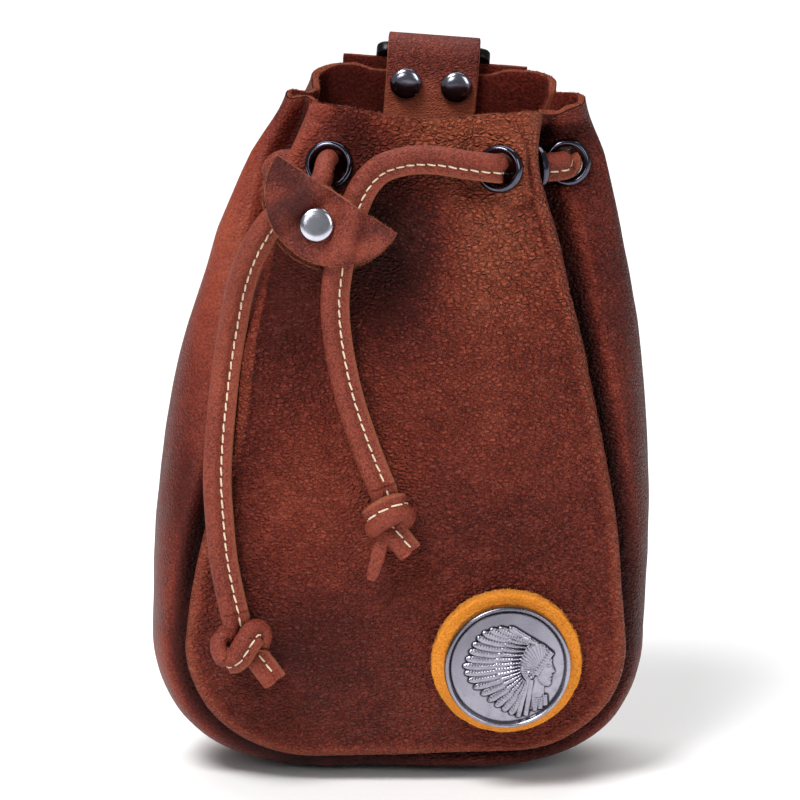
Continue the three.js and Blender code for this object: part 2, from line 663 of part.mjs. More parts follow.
// The concho: a leather disc that follows the front panel, and a stamped coin on it.
function conchoDisc() {
  const [rings, spokes] = [5, 24];
  const lift = (x, z) => {
    const { point } = seatOn(shells.front, vec(x, -90, z), vec(0, 1, 0));
    return vec(x, point.y - GAP - CONCHO.discThick, z);
  };
  const points = [lift(CONCHO.x, CONCHO.z)];
  for (let i = 1; i <= rings; i++) {
    for (let j = 0; j < spokes; j++) {
      const [radius, angle] = [CONCHO.disc * i / rings, -2 * Math.PI * j / spokes];
      points.push(lift(CONCHO.x + radius * Math.cos(angle), CONCHO.z + radius * Math.sin(angle)));
    }
  }
  const at = (i, j) => (i === 0 ? 0 : 1 + (i - 1) * spokes + j % spokes);
  const triangles = gridTriangles(rings + 1, spokes + 1, at, true);
  return wall(points, triangles.filter(([a, b, c]) => a !== b && b !== c && c !== a), CONCHO.discThick);
}

function coin() {
  const { coin: edge, rim, coinThick: top, field } = CONCHO;
  return turned(
    [
      [0, 0], [edge, 0], [edge, top - 0.5], [edge - 0.4, top], [rim + 0.2, top],
      [rim - 0.3, field], [rim * 0.6, field + 0.2], [0, field + 0.3],
    ],
    36,
  );
}

const discGeometry = conchoDisc();
add("concho_disc", discGeometry, MATERIALS.orangeLeather);
const conchoSeat = seatOn(discGeometry, vec(CONCHO.x, -90, CONCHO.z), vec(0, 1, 0));
conchoSeat.point.addScaledVector(conchoSeat.normal, GAP);
add("concho", seated(coin(), conchoSeat), MATERIALS.pewter);

const whole = new THREE.Group();
whole.add(pouch);
add("drawstring", tube(CORDS.run, CORDS.runSteps), MATERIALS.cordLeather, whole);
add("cord_end_left", tube(CORDS.leftEnd, CORDS.leftSteps), MATERIALS.cordLeather, whole);
add("cord_end_right", tube(CORDS.rightEnd, CORDS.rightSteps), MATERIALS.cordLeather, whole);
add("knot_left", knot(KNOTS.left), MATERIALS.cordLeather, whole);
add("knot_right", knot(KNOTS.right), MATERIALS.cordLeather, whole);

export default whole;
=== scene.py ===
"""A leather drawstring belt pouch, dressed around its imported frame.

Sizes are millimetres in the frame's own axes, with +Z up and the front facing -Y. Meshes are made in metres.
"""

from __future__ import annotations

import functools
import logging
from collections.abc import Sequence
from dataclasses import dataclass, field, replace
from enum import Enum
from math import cos, hypot, pi, radians, sin

import bpy
import numpy as np
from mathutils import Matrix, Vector, noise
from mathutils.bvhtree import BVHTree


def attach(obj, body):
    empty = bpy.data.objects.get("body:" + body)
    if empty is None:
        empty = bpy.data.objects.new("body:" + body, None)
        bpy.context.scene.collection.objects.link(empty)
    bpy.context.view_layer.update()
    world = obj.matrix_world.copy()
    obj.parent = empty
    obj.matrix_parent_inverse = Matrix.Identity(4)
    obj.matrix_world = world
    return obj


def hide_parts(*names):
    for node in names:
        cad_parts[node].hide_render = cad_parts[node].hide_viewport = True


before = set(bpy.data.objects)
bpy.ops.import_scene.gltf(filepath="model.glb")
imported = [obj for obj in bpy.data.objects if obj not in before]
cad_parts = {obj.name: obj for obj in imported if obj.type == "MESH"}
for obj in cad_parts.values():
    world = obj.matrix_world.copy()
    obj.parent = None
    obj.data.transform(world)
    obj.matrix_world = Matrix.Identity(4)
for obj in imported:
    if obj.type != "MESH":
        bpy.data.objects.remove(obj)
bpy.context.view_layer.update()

MM = 0.001
Array = np.ndarray
Spots = tuple[Array, Array]
Colour = tuple[float, float, float]
Flat = tuple[float, float]
Point = tuple[float, float, float]
Line = tuple[Flat, ...]
Row = tuple[float, ...]
Table = tuple[Row, ...]
Socket = bpy.types.NodeSocket
Feeds = dict[str | int, object]
Material = bpy.types.Material
Piece = bpy.types.Object
log = logging.getLogger("pouch")


class Facing(Enum):
    """The way that a panel or a half of the toggle faces, as the sign of its Y direction."""

    FRONT = -1
    BACK = 1


class Side(Enum):
    """The side of the pouch that a piece sits on, as its nodes are named."""

    LEFT = "left"
    RIGHT = "right"


class Body(Enum):
    """The frame's rigid bodies."""

    BAG = "bag"
    RING = "ring"


class Slot(Enum):
    """The record's material slots."""

    LEATHER = "leather"
    STRAP = "strap_leather"
    ORANGE = "orange_leather"
    GUNMETAL = "gunmetal"
    PEWTER = "pewter"
    BLACK = "black_metal"


# Points and faces


def unit(vectors: Array) -> Array:
    """Scales vectors to a length of 1."""
    return vectors / np.maximum(np.linalg.norm(vectors, axis=-1, keepdims=True), 1e-12)


def lumps(points: Array, size: float, seed: float) -> Array:
    """Smooth noise between -1 and 1 at points, with lumps of about a size, moved by a seed."""
    shift = Vector((seed, 1.7 * seed, -0.6 * seed))
    return np.array([noise.noise(Vector(p) / size + shift) for p in points])


def smoothstep(value: Array, low: float, high: float) -> Array:
    """Rises smoothly from 0 at low to 1 at high."""
    share = np.clip((value - low) / (high - low), 0, 1)
    return share * share * (3 - 2 * share)


def spot(x: Array, y: Array, at_x: float, at_y: float, wide: float, tall: float) -> Array:
    """A soft spot: 1 at its middle, fading over its half width and half height."""
    return np.exp(-((x - at_x) / wide) ** 2 - ((y - at_y) / tall) ** 2)


def turns(count: int) -> Array:
    """Even angles once round."""
    return np.linspace(0, 2 * pi, count, endpoint=False)


def oval(count: int, power: float = 1.0) -> Array:
    """A ring of points round the origin, squarer with a power below 1."""
    ring = np.stack([np.cos(turns(count)), np.sin(turns(count))], axis=1)
    return np.sign(ring) * np.abs(ring) ** power


def polar(radius: float, rings: int, angles: Array) -> tuple[Array, Array, Array]:
    """Rings of points round the origin: their radius, X and Y."""
    r, t = np.meshgrid(np.linspace(0, radius, rings + 1), angles, indexing="ij")
    return r, r * np.cos(t), r * np.sin(t)


def travelled(line: Array) -> Array:
    """The distance along a line at each of its points."""
    return np.concatenate([[0], np.cumsum(np.linalg.norm(np.diff(line, axis=0), axis=1))])


def read_at(spots: Array, places: Array, columns: Array) -> Array:
    """Reads columns of numbers, given at some places, at other spots between them."""
    return np.stack([np.interp(spots, places, column) for column in columns.T], axis=1)


def hermite(share: Array, start: Array, end: Array, leave: Array, arrive: Array) -> Array:
    """A smooth curve between two values, with its slopes at both."""
    s2, s3 = share ** 2, share ** 3
    return (start * (2 * s3 - 3 * s2 + 1) + end * (3 * s2 - 2 * s3)
            + leave * (s3 - 2 * s2 + share) + arrive * (s3 - s2))


def bridged(first: Array, second: Array) -> Array:
    """Two half grids that meet in a column, as one grid."""
    return np.concatenate([first, second[:, ::-1][:, 1:]], axis=1)


def clean_faces(faces: Array) -> Array:
    """Writes faces with a doubled corner as triangles, whose last corner is repeated.

    Args:
        faces: Rows of four corners.

    Returns:
        The rows that still have three or four different corners.
    """
    doubled = (faces == np.roll(faces, -1, axis=1)).any(axis=1)
    mended = []
    for row in faces[doubled].tolist():
        corners = list(dict.fromkeys(row))
        if len(corners) == 3:
            mended.append([*corners, corners[2]])
    return np.concatenate([faces[~doubled], np.array(mended, int).reshape(-1, 4)])


def flipped(faces: Array) -> Array:
    """Turns faces round, with triangles kept as a repeated last corner."""
    triangle = (faces[:, 2] == faces[:, 3])[:, None]
    return np.where(triangle, faces[:, [2, 1, 0, 0]], faces[:, ::-1])


def grid_faces(rows: int, columns: int, wrap: bool = False) -> Array:
    """Faces of a grid of points.

    Args:
        rows: Number of rows.
        columns: Number of points in a row.
        wrap: Whether each row closes on itself.

    Returns:
        Rows of four corners.
    """
    i, j = np.meshgrid(np.arange(rows - 1), np.arange(columns - (not wrap)), indexing="ij")
    i, j = i.ravel(), j.ravel()
    k = (j + 1) % columns
    return np.stack([i * columns + j, (i + 1) * columns + j, (i + 1) * columns + k, i * columns + k], axis=1)


@dataclass
class Surface:
    """Points, faces of four corners, and named values at the points."""

    points: Array
    faces: Array
    values: dict[str, Array] = field(default_factory=dict)

    def normals(self, passes: int = 0) -> Array:
        """Outward directions at the points.

        Args:
            passes: How often they are evened out with their neighbours.

        Returns:
            A direction for each point.
        """
        a, b, c, d = (self.points[self.faces[:, k]] for k in range(4))
        facing = np.cross(c - a, d - b)
        for _ in range(passes + 1):
            found = np.zeros_like(self.points)
            for k in range(4):
                np.add.at(found, self.faces[:, k], facing)
            facing = unit(found)[self.faces].mean(axis=1)
        return unit(found)

    def welded(self, within: float = 1e-4) -> Surface:
        """Joins points that lie together.

        Args:
            within: How near counts as together.

        Returns:
            The welded surface.
        """
        keys = np.round(self.points / within).astype(np.int64)
        _, first, index = np.unique(keys, axis=0, return_index=True, return_inverse=True)
        faces = clean_faces(index.reshape(-1)[self.faces])
        return Surface(self.points[first], faces, {k: v[first] for k, v in self.values.items()})

    def facing_out(self) -> Surface:
        """Turns the faces of a closed surface outward.

        Returns:
            The surface.
        """
        a, b, c, d = (self.points[self.faces[:, k]] for k in range(4))
        volume = np.einsum("ij,ij->", a, np.cross(b, c)) + np.einsum("ij,ij->", a, np.cross(c, d))
        return self if volume > 0 else Surface(self.points, flipped(self.faces), self.values)

    def tree(self) -> BVHTree:
        """A search tree over the faces, in millimetres."""
        return BVHTree.FromPolygons(self.points.tolist(), self.faces.tolist())

    def build(self, name: str, material: Material) -> Piece:
        """Makes a smooth mesh object.

        Args:
            name: The object's name.
            material: Its one material.

        Returns:
            The new object, in the scene.
        """
        mesh = bpy.data.meshes.new(name)
        rows = [row[:3] if row[2] == row[3] else row for row in self.faces.tolist()]
        mesh.from_pydata((self.points * MM).tolist(), [], rows)
        mesh.polygons.foreach_set("use_smooth", [True] * len(rows))
        for key, value in self.values.items():
            layer = mesh.attributes.new(key, "FLOAT", "POINT")
            layer.data.foreach_set("value", value.astype(np.float32))
        mesh.materials.append(material)
        piece = bpy.data.objects.new(name, mesh)
        bpy.context.scene.collection.objects.link(piece)
        return piece


def joined(surfaces: Sequence[Surface]) -> Surface:
    """Puts surfaces together.

    Args:
        surfaces: The surfaces.

    Returns:
        One surface, with values that some of them lack taken as 0.
    """
    starts = np.cumsum([0] + [len(s.points) for s in surfaces])
    names = sorted({name for s in surfaces for name in s.values})
    values = {n: np.concatenate([s.values.get(n, np.zeros(len(s.points))) for s in surfaces]) for n in names}
    faces = np.concatenate([s.faces + start for s, start in zip(surfaces, starts)])
    return Surface(np.concatenate([s.points for s in surfaces]), faces, values)


def hairs(roots: Array, ways: Array, seed: int) -> Surface:
    """Short loose fibres that stand on raw leather.

    Args:
        roots: Where they stand.
        ways: Which way each one leans.
        seed: Sets their lengths and bends.

    Returns:
        The fibres as one surface of spikes.
    """
    rng = np.random.default_rng(seed)
    count = len(roots)
    lean = unit(ways + 0.45 * rng.normal(size=(count, 3)))
    side = unit(np.cross(lean, rng.normal(size=(count, 3))))
    other = np.cross(lean, side)
    length = rng.uniform(0.2, 0.6, (count, 1))
    bend = side * rng.uniform(-0.35, 0.35, (count, 1))
    rings = []
    for reach, radius in ((-0.2, 0.07), (0.5, 0.05)):
        for angle in turns(3):
            around = side * cos(angle) + other * sin(angle)
            rings.append(roots + lean * length * reach + radius * around)
    rings.append(roots + (lean + bend) * length)
    spike = np.array([[0, 1, 4, 3], [1, 2, 5, 4], [2, 0, 3, 5], [3, 4, 6, 6], [4, 5, 6, 6], [5, 3, 6, 6],
                      [2, 1, 0, 0]])
    faces = (spike[None] + 7 * np.arange(count)[:, None, None]).reshape(-1, 4)
    return Surface(np.stack(rings, axis=1).reshape(-1, 3), faces, {"edge": np.ones(7 * count)}).facing_out()


@dataclass(frozen=True)
class CutEdge:
    """A cut edge of leather: its bulge, raggedness, strips, and fibres to a millimetre above a height."""

    bulge: float = 0.25
    ragged: float = 0.14
    strips: int = 4
    fibres: float = 0.0
    fibres_above: float = -1.0


def leather_wall(sheet: Surface, thickness: float, edge: CutEdge = CutEdge()) -> Surface:
    """Gives a sheet a thickness, a flesh side and cut edges.

    Args:
        sheet: The grain side.
        thickness: Distance from the grain side to the flesh side.
        edge: The look of the edges.

    Returns:
        A closed wall with the values "flesh" and "edge".
    """
    count = len(sheet.points)
    normals = sheet.normals(3)
    sides = sheet.faces[:, [0, 1, 1, 2, 2, 3, 3, 0]].reshape(-1, 2)
    sides = sides[sides[:, 0] != sides[:, 1]]
    rim = sides[~np.isin(sides[:, 0] * count + sides[:, 1], sides[:, 1] * count + sides[:, 0])]
    along = unit(sheet.points[rim[:, 1]] - sheet.points[rim[:, 0]])
    outward = np.zeros_like(sheet.points)
    for end in range(2):
        np.add.at(outward, rim[:, end], np.cross(along, normals[rim[:, end]]))
    corners = np.unique(rim)
    layers = [sheet.points, sheet.points - normals * thickness]
    for k in range(1, edge.strips):
        angle = pi * k / edge.strips
        reach = edge.bulge + edge.ragged * lumps(sheet.points[corners], 0.9, 3.1 * k)
        down = normals[corners] * (thickness / 2 * (1 - cos(angle)))
        layers.append(sheet.points[corners] - down + unit(outward[corners]) * (reach * sin(angle))[:, None])

    def ring(k: int, corner: Array) -> Array:
        """Numbers of the points on strip line k."""
        between = 2 * count + (k - 1) * len(corners) + np.searchsorted(corners, corner)
        return corner if k == 0 else corner + count if k == edge.strips else between

    faces = [sheet.faces, flipped(sheet.faces) + count]
    for k in range(edge.strips):
        a, b = rim[:, 0], rim[:, 1]
        faces.append(np.stack([ring(k, b), ring(k, a), ring(k + 1, a), ring(k + 1, b)], axis=1))
    sizes = [count, count, (edge.strips - 1) * len(corners)]
    values = {"edge": np.repeat([0.0, 0.0, 1.0], sizes), "flesh": np.repeat([0.0, 1.0, 0.0], sizes)}
    for key, value in sheet.values.items():
        values[key] = np.concatenate([value, value * 0, *[value[corners]] * (edge.strips - 1)])
    wall = Surface(np.concatenate(layers), np.concatenate(faces), values)
    if edge.fibres == 0:
        return wall
    raw = rim[sheet.points[rim].min(axis=1)[:, 2] > edge.fibres_above]
    rng = np.random.default_rng(len(raw))
    lengths = np.linalg.norm(sheet.points[raw[:, 1]] - sheet.points[raw[:, 0]], axis=1)
    picked = rng.choice(len(raw), int(edge.fibres * lengths.sum()), p=lengths / lengths.sum())
    share, depth = rng.uniform(size=(2, len(picked), 1))
    start, end = sheet.points[raw[picked, 0]], sheet.points[raw[picked, 1]]
    normal, out = normals[raw[picked, 0]], unit(outward)[raw[picked, 0]]
    roots = start + (end - start) * share - normal * thickness * depth + out * edge.bulge * np.sin(pi * depth)
    return joined([wall, hairs(roots, out + normal * (0.5 - depth) * 1.6, len(raw))])


def spun(profile: Sequence[Flat], origin: Array, axis: Array, segments: int = 64) -> Surface:
    """Turns a profile about an axis.

    Args:
        profile: Pairs of radius and height that close on themselves or start and end on the axis.
        origin: Where height 0 lies on the axis.
        axis: Direction of rising height.
        segments: Number of steps round the axis.

    Returns:
        The closed surface.
    """
    up = unit(axis)
    right = unit(np.cross(up, [0.3, 0.2, 1.0]))
    front = np.cross(up, right)
    angles = turns(segments)
    circle = np.cos(angles)[:, None] * right + np.sin(angles)[:, None] * front
    rings = np.array([origin + r * circle + h * up for r, h in profile])
    surface = Surface(rings.reshape(-1, 3), grid_faces(len(profile), segments, wrap=True))
    return surface.welded().facing_out()


def rounded_profile(profile: Sequence[Flat], passes: int = 2) -> list[Flat]:
    """Rounds the corners of an open profile.

    Args:
        profile: Pairs of radius and height.
        passes: How often its corners are cut.

    Returns:
        The rounder profile, with the same two ends.
    """
    line = np.array(profile, float)
    for _ in range(passes):
        cut = np.concatenate([line[:-1] * 0.75 + line[1:] * 0.25, line[:-1] * 0.25 + line[1:] * 0.75])
        order = np.arange(2 * (len(line) - 1)).reshape(2, -1).T.ravel()
        line = np.concatenate([line[:1], cut[order], line[-1:]])
    return [tuple(row) for row in line]


def route(points: Sequence[Point], step: float, extras: Array) -> tuple[Array, Array]:
    """Draws a smooth curve through points, at even steps.

    Args:
        points: The points to pass through.
        step: Distance between the curve's own points.
        extras: A vector for each point, carried along the curve.

    Returns:
        The curve's points, and the vectors at them.
    """
    fixed = np.array(points, float)
    vectors = np.array(extras, float)
    ends = np.concatenate([[2 * fixed[0] - fixed[1]], fixed, [2 * fixed[-1] - fixed[-2]]])
    curve, carried = [], []
    shares = np.linspace(0, 1, 24, endpoint=False)[:, None]
    for i in range(len(fixed) - 1):
        before, start, end, after = ends[i:i + 4]
        gaps = [max(np.linalg.norm(b - a) ** 0.5, 1e-6) for a, b in zip(ends[i:i + 3], ends[i + 1:i + 4])]
        leave = (start - before) / gaps[0] - (end - before) / (gaps[0] + gaps[1]) + (end - start) / gaps[1]
        arrive = (end - start) / gaps[1] - (after - start) / (gaps[1] + gaps[2]) + (after - end) / gaps[2]
        curve.append(hermite(shares, start, end, gaps[1] * leave, gaps[1] * arrive))
        carried.append(vectors[i] * (1 - shares) + vectors[i + 1] * shares)
    line = np.concatenate([*curve, fixed[-1:]])
    vectors = np.concatenate([*carried, vectors[-1:]])
    length = travelled(line)
    even = np.linspace(0, length[-1], max(int(length[-1] / step), 2) + 1)
    return read_at(even, length, line), read_at(even, length, vectors)


def section_axes(path: Array, side: Array) -> tuple[Array, Array]:
    """The axes of a section that is carried along a path.

    Args:
        path: The path's points.
        side: Which way the first axis points at each of them.

    Returns:
        Both axes at each point.
    """
    along = unit(np.gradient(path, axis=0))
    first = unit(side - along * np.einsum("ij,ij->i", side, along)[:, None])
    return first, np.cross(along, first)


def swept(path: Array, side: Array, section: Array, values: dict[str, Array] | None = None) -> Surface:
    """Carries a closed section along a path.

    Args:
        path: The points that the section's origin follows.
        side: The section's first axis at each of them.
        section: Points of the section, in its two axes, or one such set for each point of the path.
        values: Named values at the section's points.

    Returns:
        The closed surface.
    """
    first, second = section_axes(path, side)
    shapes = np.broadcast_to(section, (len(path), *section.shape[-2:]))
    count = shapes.shape[1]
    points = path[:, None] + first[:, None] * shapes[..., :1] + second[:, None] * shapes[..., 1:]
    faces = [grid_faces(len(path), count, wrap=True)]
    ring = np.arange(count)
    for row, middle in ((0, len(path) * count), (len(path) - 1, len(path) * count + 1)):
        start = row * count
        tip = np.full(count, middle)
        fan = np.stack([start + ring, start + (ring + 1) % count, tip, tip], axis=1)
        faces.append(fan if row else fan[:, [1, 0, 2, 3]])
    ends = points[[0, -1]].mean(axis=1)
    carried = {k: np.concatenate([np.tile(v, len(path)), [1, 1]]) for k, v in (values or {}).items()}
    return Surface(np.concatenate([points.reshape(-1, 3), ends]), np.concatenate(faces), carried).facing_out()


# Finishes


def srgb(red: int, green: int, blue: int) -> Colour:
    """A colour of 0 to 255 as the linear values that shaders take."""
    shares = [value / 255 for value in (red, green, blue)]
    return tuple(s / 12.92 if s <= 0.04045 else ((s + 0.055) / 1.055) ** 2.4 for s in shares)


def dimmed(colour: Colour, share: float) -> Colour:
    """A darker shade of a colour."""
    return tuple(share * part for part in colour)


class Axis(Enum):
    """An axis of the frame, as nodes name it."""

    X = "X"
    Z = "Z"


class Sum(Enum):
    """The sums that the finishes do, as nodes name them."""

    PLUS = "ADD"
    MINUS = "SUBTRACT"
    TIMES = "MULTIPLY"
    MOST = "MAXIMUM"


class Graph:
    """A material's node tree, with short calls for the nodes that the finishes use."""

    def __init__(self, name: str) -> None:
        """Starts a material with one principled shader.

        Args:
            name: The material's name.
        """
        self.material = bpy.data.materials.new(name)
        self.material.use_nodes = True
        self.tree = self.material.node_tree
        self.shader = self.tree.nodes["Principled BSDF"]
        self.where = self.add("TexCoord").outputs["Object"]

    def add(self, kind: str, feeds: Feeds | None = None, **settings: object) -> bpy.types.Node:
        """Adds a node.

        Args:
            kind: Its kind, without the usual start of the name.
            feeds: Links or values for its inputs.
            **settings: Its settings.

        Returns:
            The node.
        """
        node = self.tree.nodes.new("ShaderNode" + kind)
        for key, value in settings.items():
            setattr(node, key, value)
        for key, value in (feeds or {}).items():
            self.feed(node.inputs[key], value)
        return node

    def feed(self, socket: Socket, value: object) -> None:
        """Feeds an input.

        Args:
            socket: The input.
            value: A socket to link to it, or its value.
        """
        if isinstance(value, Socket):
            self.tree.links.new(value, socket)
        else:
            socket.default_value = value

    def noise(self, size: float, detail: float = 2.0, rough: float = 0.5,
              where: Socket | None = None) -> Socket:
        """Noise from 0 to 1 with lumps of the given size in millimetres."""
        return self.add("TexNoise", {
            "Vector": where or self.where, "Scale": 1 / (size * MM), "Detail": detail, "Roughness": rough,
        }).outputs["Fac"]

    def domes(self, size: float, where: Socket) -> Socket:
        """Soft domes of the given size in millimetres, from 0 in the creases between them to 1."""
        cells = self.add("TexVoronoi", {"Vector": where, "Scale": 1 / (size * MM)},
                         feature="DISTANCE_TO_EDGE")
        return self.add("MapRange", {
            "Value": cells.outputs["Distance"], "From Min": -0.1, "From Max": 0.42,
        }, interpolation_type="SMOOTHSTEP").outputs["Result"]

    def along(self, axis: Axis) -> Socket:
        """The place along an axis in metres."""
        return self.add("SeparateXYZ", {"Vector": self.where}).outputs[axis.value]

    def stretched(self, scale: Point, where: Socket | None = None) -> Socket:
        """Places scaled along the axes, so that a pattern is drawn out."""
        return self.add("Mapping", {"Vector": where or self.where, "Scale": scale}).outputs["Vector"]

    def warped(self, size: float, reach: float) -> Socket:
        """Places moved by noise, by up to about half the reach, both in millimetres."""
        lumpy = self.add("TexNoise", {"Vector": self.where, "Scale": 1 / (size * MM)}).outputs["Color"]
        return self.add("VectorMath", {0: lumpy, 1: (reach * MM,) * 3, 2: self.where},
                        operation="MULTIPLY_ADD").outputs[0]

    def value(self, name: str) -> Socket:
        """A named value of the mesh's points."""
        return self.add("Attribute", attribute_name=name).outputs["Fac"]

    def span(self, value: Socket, low: float, high: float, start: float = 0.0, end: float = 1.0) -> Socket:
        """Maps low to start and high to end, and stops there."""
        feeds = dict(enumerate((value, low, high, start, end)))
        return self.add("MapRange", feeds, clamp=True).outputs["Result"]

    def math(self, kind: Sum, *values: object) -> Socket:
        """One kind of sum, run over values in order."""
        return functools.reduce(
            lambda a, b: self.add("Math", {0: a, 1: b}, operation=kind.value).outputs[0], values)

    def product(self, *values: object) -> Socket:
        """Values multiplied together."""
        return self.math(Sum.TIMES, *values)

    def mix(self, share: object, a: object, b: object) -> Socket:
        """Mixes two colours."""
        first, second = ((*c, 1.0) if isinstance(c, tuple) else c for c in (a, b))
        return self.add("Mix", {0: share, 6: first, 7: second}, data_type="RGBA").outputs[2]

    def tones(self, value: Socket, stops: Sequence[tuple[float, Colour]]) -> Socket:
        """Colours along a value.

        Args:
            value: The value.
            stops: Places along it, with their colours.

        Returns:
            The colour.
        """
        node = self.add("ValToRGB", {"Fac": value})
        marks = node.color_ramp.elements
        while len(marks) < len(stops):
            marks.new(0.5)
        for mark, (place, colour) in zip(marks, stops):
            mark.position = place
            mark.color = (*colour, 1.0)
        return node.outputs["Color"]

    def total(self, *parts: tuple[Socket, float]) -> Socket:
        """A sum of values, each times its weight."""
        return self.math(Sum.PLUS, *[self.product(*part) for part in parts])

    def bump(self, height: Socket, depth: float, under: Socket | None = None) -> Socket:
        """Raises the surface.

        Args:
            height: The height's share of the depth.
            depth: The depth in millimetres.
            under: A normal that is bumped already.

        Returns:
            The bumped normal.
        """
        feeds = {"Strength": 1.0, "Distance": depth * MM, "Height": height}
        if under is not None:
            feeds["Normal"] = under
        return self.add("Bump", feeds).outputs["Normal"]

    def finish(self, colour: object, roughness: object, normal: Socket | None, **fixed: object) -> Material:
        """Wires the shader and sets its even values.

        Args:
            colour: Base colour.
            roughness: Roughness.
            normal: The bumped normal.
            **fixed: Even values by the shader's socket names, with spaces written as underscores.

        Returns:
            The material.
        """
        self.feed(self.shader.inputs["Base Color"], colour)
        self.feed(self.shader.inputs["Roughness"], roughness)
        if normal is not None:
            self.feed(self.shader.inputs["Normal"], normal)
        for key, number in fixed.items():
            self.shader.inputs[key.replace("_", " ")].default_value = number
        return self.material


@dataclass(frozen=True)
class LeatherFinish:
    """Waxed leather: its tones, its pebbled grain, its flesh side and its cut edges."""

    name: str
    dark: Colour
    middle: Colour
    light: Colour
    edge: Colour
    flesh: Colour
    pebble: float = 0.9
    pebble_shape: Point = (0.62, 0.75, 1.0)
    depth: float = 1.25
    contrast: float = 0.95
    speckle: float = 0.4
    roughness: Flat = (0.42, 0.54)
    specular: float = 0.13

    def grain(self, g: Graph) -> Socket:
        """The pebbled grain: low domes, wider than tall, that are flatter away from the rim.

        Args:
            g: The material's graph.

        Returns:
            Their height, from 0 to 1.
        """
        domes = g.domes(self.pebble, g.stretched(self.pebble_shape, g.warped(1.5, 0.7)))
        flat = g.math(Sum.MOST, g.span(g.along(Axis.Z), 0.05, 0.135, 0.35, 0.0), g.value("smooth"))
        return g.math(Sum.PLUS, g.product(domes, g.math(Sum.MINUS, 1.0, flat)), flat)

    def tone(self, g: Graph, cloud: Socket) -> Socket:
        """The grain side's colour: clouds, speckles, wear, and painted light and shade, from near black to
        the light tone.
        """
        tone = g.total((g.noise(36), 0.16), (cloud, 0.14), (g.noise(0.5, 3.0, 0.65), self.speckle),
                       (g.value("wear"), 0.3))
        # The wear value also carries painted light and shade; the two darkest stops, near black, are painted
        # shade for valleys and hollows.
        return g.tones(g.math(Sum.PLUS, tone, 0.366 - 0.5 * self.speckle), [
            (0.14, dimmed(self.dark, 0.12)), (0.33, dimmed(self.dark, 0.62)), (0.42, self.dark),
            (0.52, self.middle), (0.68, self.light)])

    def nap(self, g: Graph) -> Socket:
        """The flesh side's colour: a rough nap, with painted shade towards the left."""
        nap = g.mix(g.span(g.noise(0.7, 3.0, 0.8), 0.4, 0.62), dimmed(self.flesh, 0.35), self.flesh)
        # Painted shade: the flesh side grows darker towards the left.
        return g.mix(g.span(g.along(Axis.X), 0.03, -0.015, 0.0, 0.55), nap, dimmed(self.flesh, 0.2))

    def relief(self, g: Graph, height: Socket, grain_side: Socket, flesh: Socket) -> Socket:
        """Bumps: pores, nap, pebbles, drawn folds below the rim and soft dents.

        Args:
            g: The material's graph.
            height: The pebbles' height.
            grain_side: Where the leather shows its grain.
            flesh: Where it shows its flesh side.

        Returns:
            The bumped normal.
        """
        normal = g.bump(g.noise(0.35, 2.0, 0.6), 0.05)
        normal = g.bump(g.product(g.noise(0.9, 3.0, 0.8), flesh), 1.4, normal)
        normal = g.bump(height, self.depth, normal)
        drawn = g.noise(2.1, where=g.stretched((0.3, 0.3, 1.0), g.warped(7.0, 5.0)))
        drawn = g.product(drawn, g.span(g.along(Axis.Z), 0.1, 0.13, 0.2, 1.0), grain_side)
        normal = g.bump(drawn, self.depth * 0.4, normal)
        return g.bump(g.noise(4.2, 3.0, 0.55), 0.3, normal)

    def material(self) -> Material:
        """The leather's nodes.

        Returns:
            The material.
        """
        g = Graph(self.name)
        flesh, edge = g.value("flesh"), g.value("edge")
        inner = g.math(Sum.MOST, flesh, edge)
        grain_side = g.math(Sum.MINUS, 1.0, inner)
        cloud = g.noise(7, 4.0, 0.62)
        height = g.product(self.grain(g), grain_side)
        fade = g.product(g.span(g.noise(1.8), 0.35, 0.62, 0.2, 1.0), self.contrast,
                         g.span(g.along(Axis.Z), 0.13, 0.155, 1.0, 0.5))
        # Darker in the grain's creases: partly the leather's own colour, partly painted shade.
        crease = g.product(g.span(height, 0.5, 0.08), g.product(grain_side, fade))
        colour = g.mix(crease, self.tone(g, cloud), dimmed(self.dark, 0.38))
        raw = g.mix(g.span(g.noise(0.4, 3.0, 0.7), 0.3, 0.7), dimmed(self.edge, 0.45), self.edge)
        colour = g.mix(edge, g.mix(flesh, colour, self.nap(g)), raw)
        rough = g.math(Sum.MOST, g.span(cloud, 0.3, 0.7, *self.roughness), inner)
        normal = self.relief(g, height, grain_side, flesh)
        return g.finish(colour, rough, normal, Specular_IOR_Level=self.specular)


@dataclass(frozen=True)
class MetalFinish:
    """Plated or cast metal, with fine scratches and a dark colour where its recess value rises: tarnish in
    the coin's hollows, painted shade on the coin's field and in the eyelets' barrels.
    """

    name: str
    bright: Colour
    tarnish: Colour
    roughness: Flat
    metallic: float = 1.0

    def material(self) -> Material:
        """The metal's nodes.

        Returns:
            The material.
        """
        g = Graph(self.name)
        scratch = g.noise(0.6, 4.0, 0.7, g.stretched((1, 1, 6)))
        dull = g.product(g.span(g.noise(2.2, 4.0, 0.6), 0.45, 0.8), 0.35)
        colour = g.mix(g.math(Sum.MOST, g.value("recess"), dull), self.bright, self.tarnish)
        rough = g.span(scratch, 0.3, 0.75, *self.roughness)
        normal = g.bump(scratch, 0.006)
        return g.finish(colour, rough, normal, Metallic=self.metallic)


@dataclass(frozen=True)
class ThreadFinish:
    """Waxed sewing thread."""

    name: str
    bright: Colour
    shade: Colour

    def material(self) -> Material:
        """The thread's nodes.

        Returns:
            The material.
        """
        g = Graph(self.name)
        twist = g.noise(0.3, 2.0, 0.6)
        colour = g.mix(g.span(twist, 0.3, 0.7), self.shade, self.bright)
        return g.finish(colour, g.span(twist, 0.3, 0.7, 0.5, 0.75), g.bump(twist, 0.05))


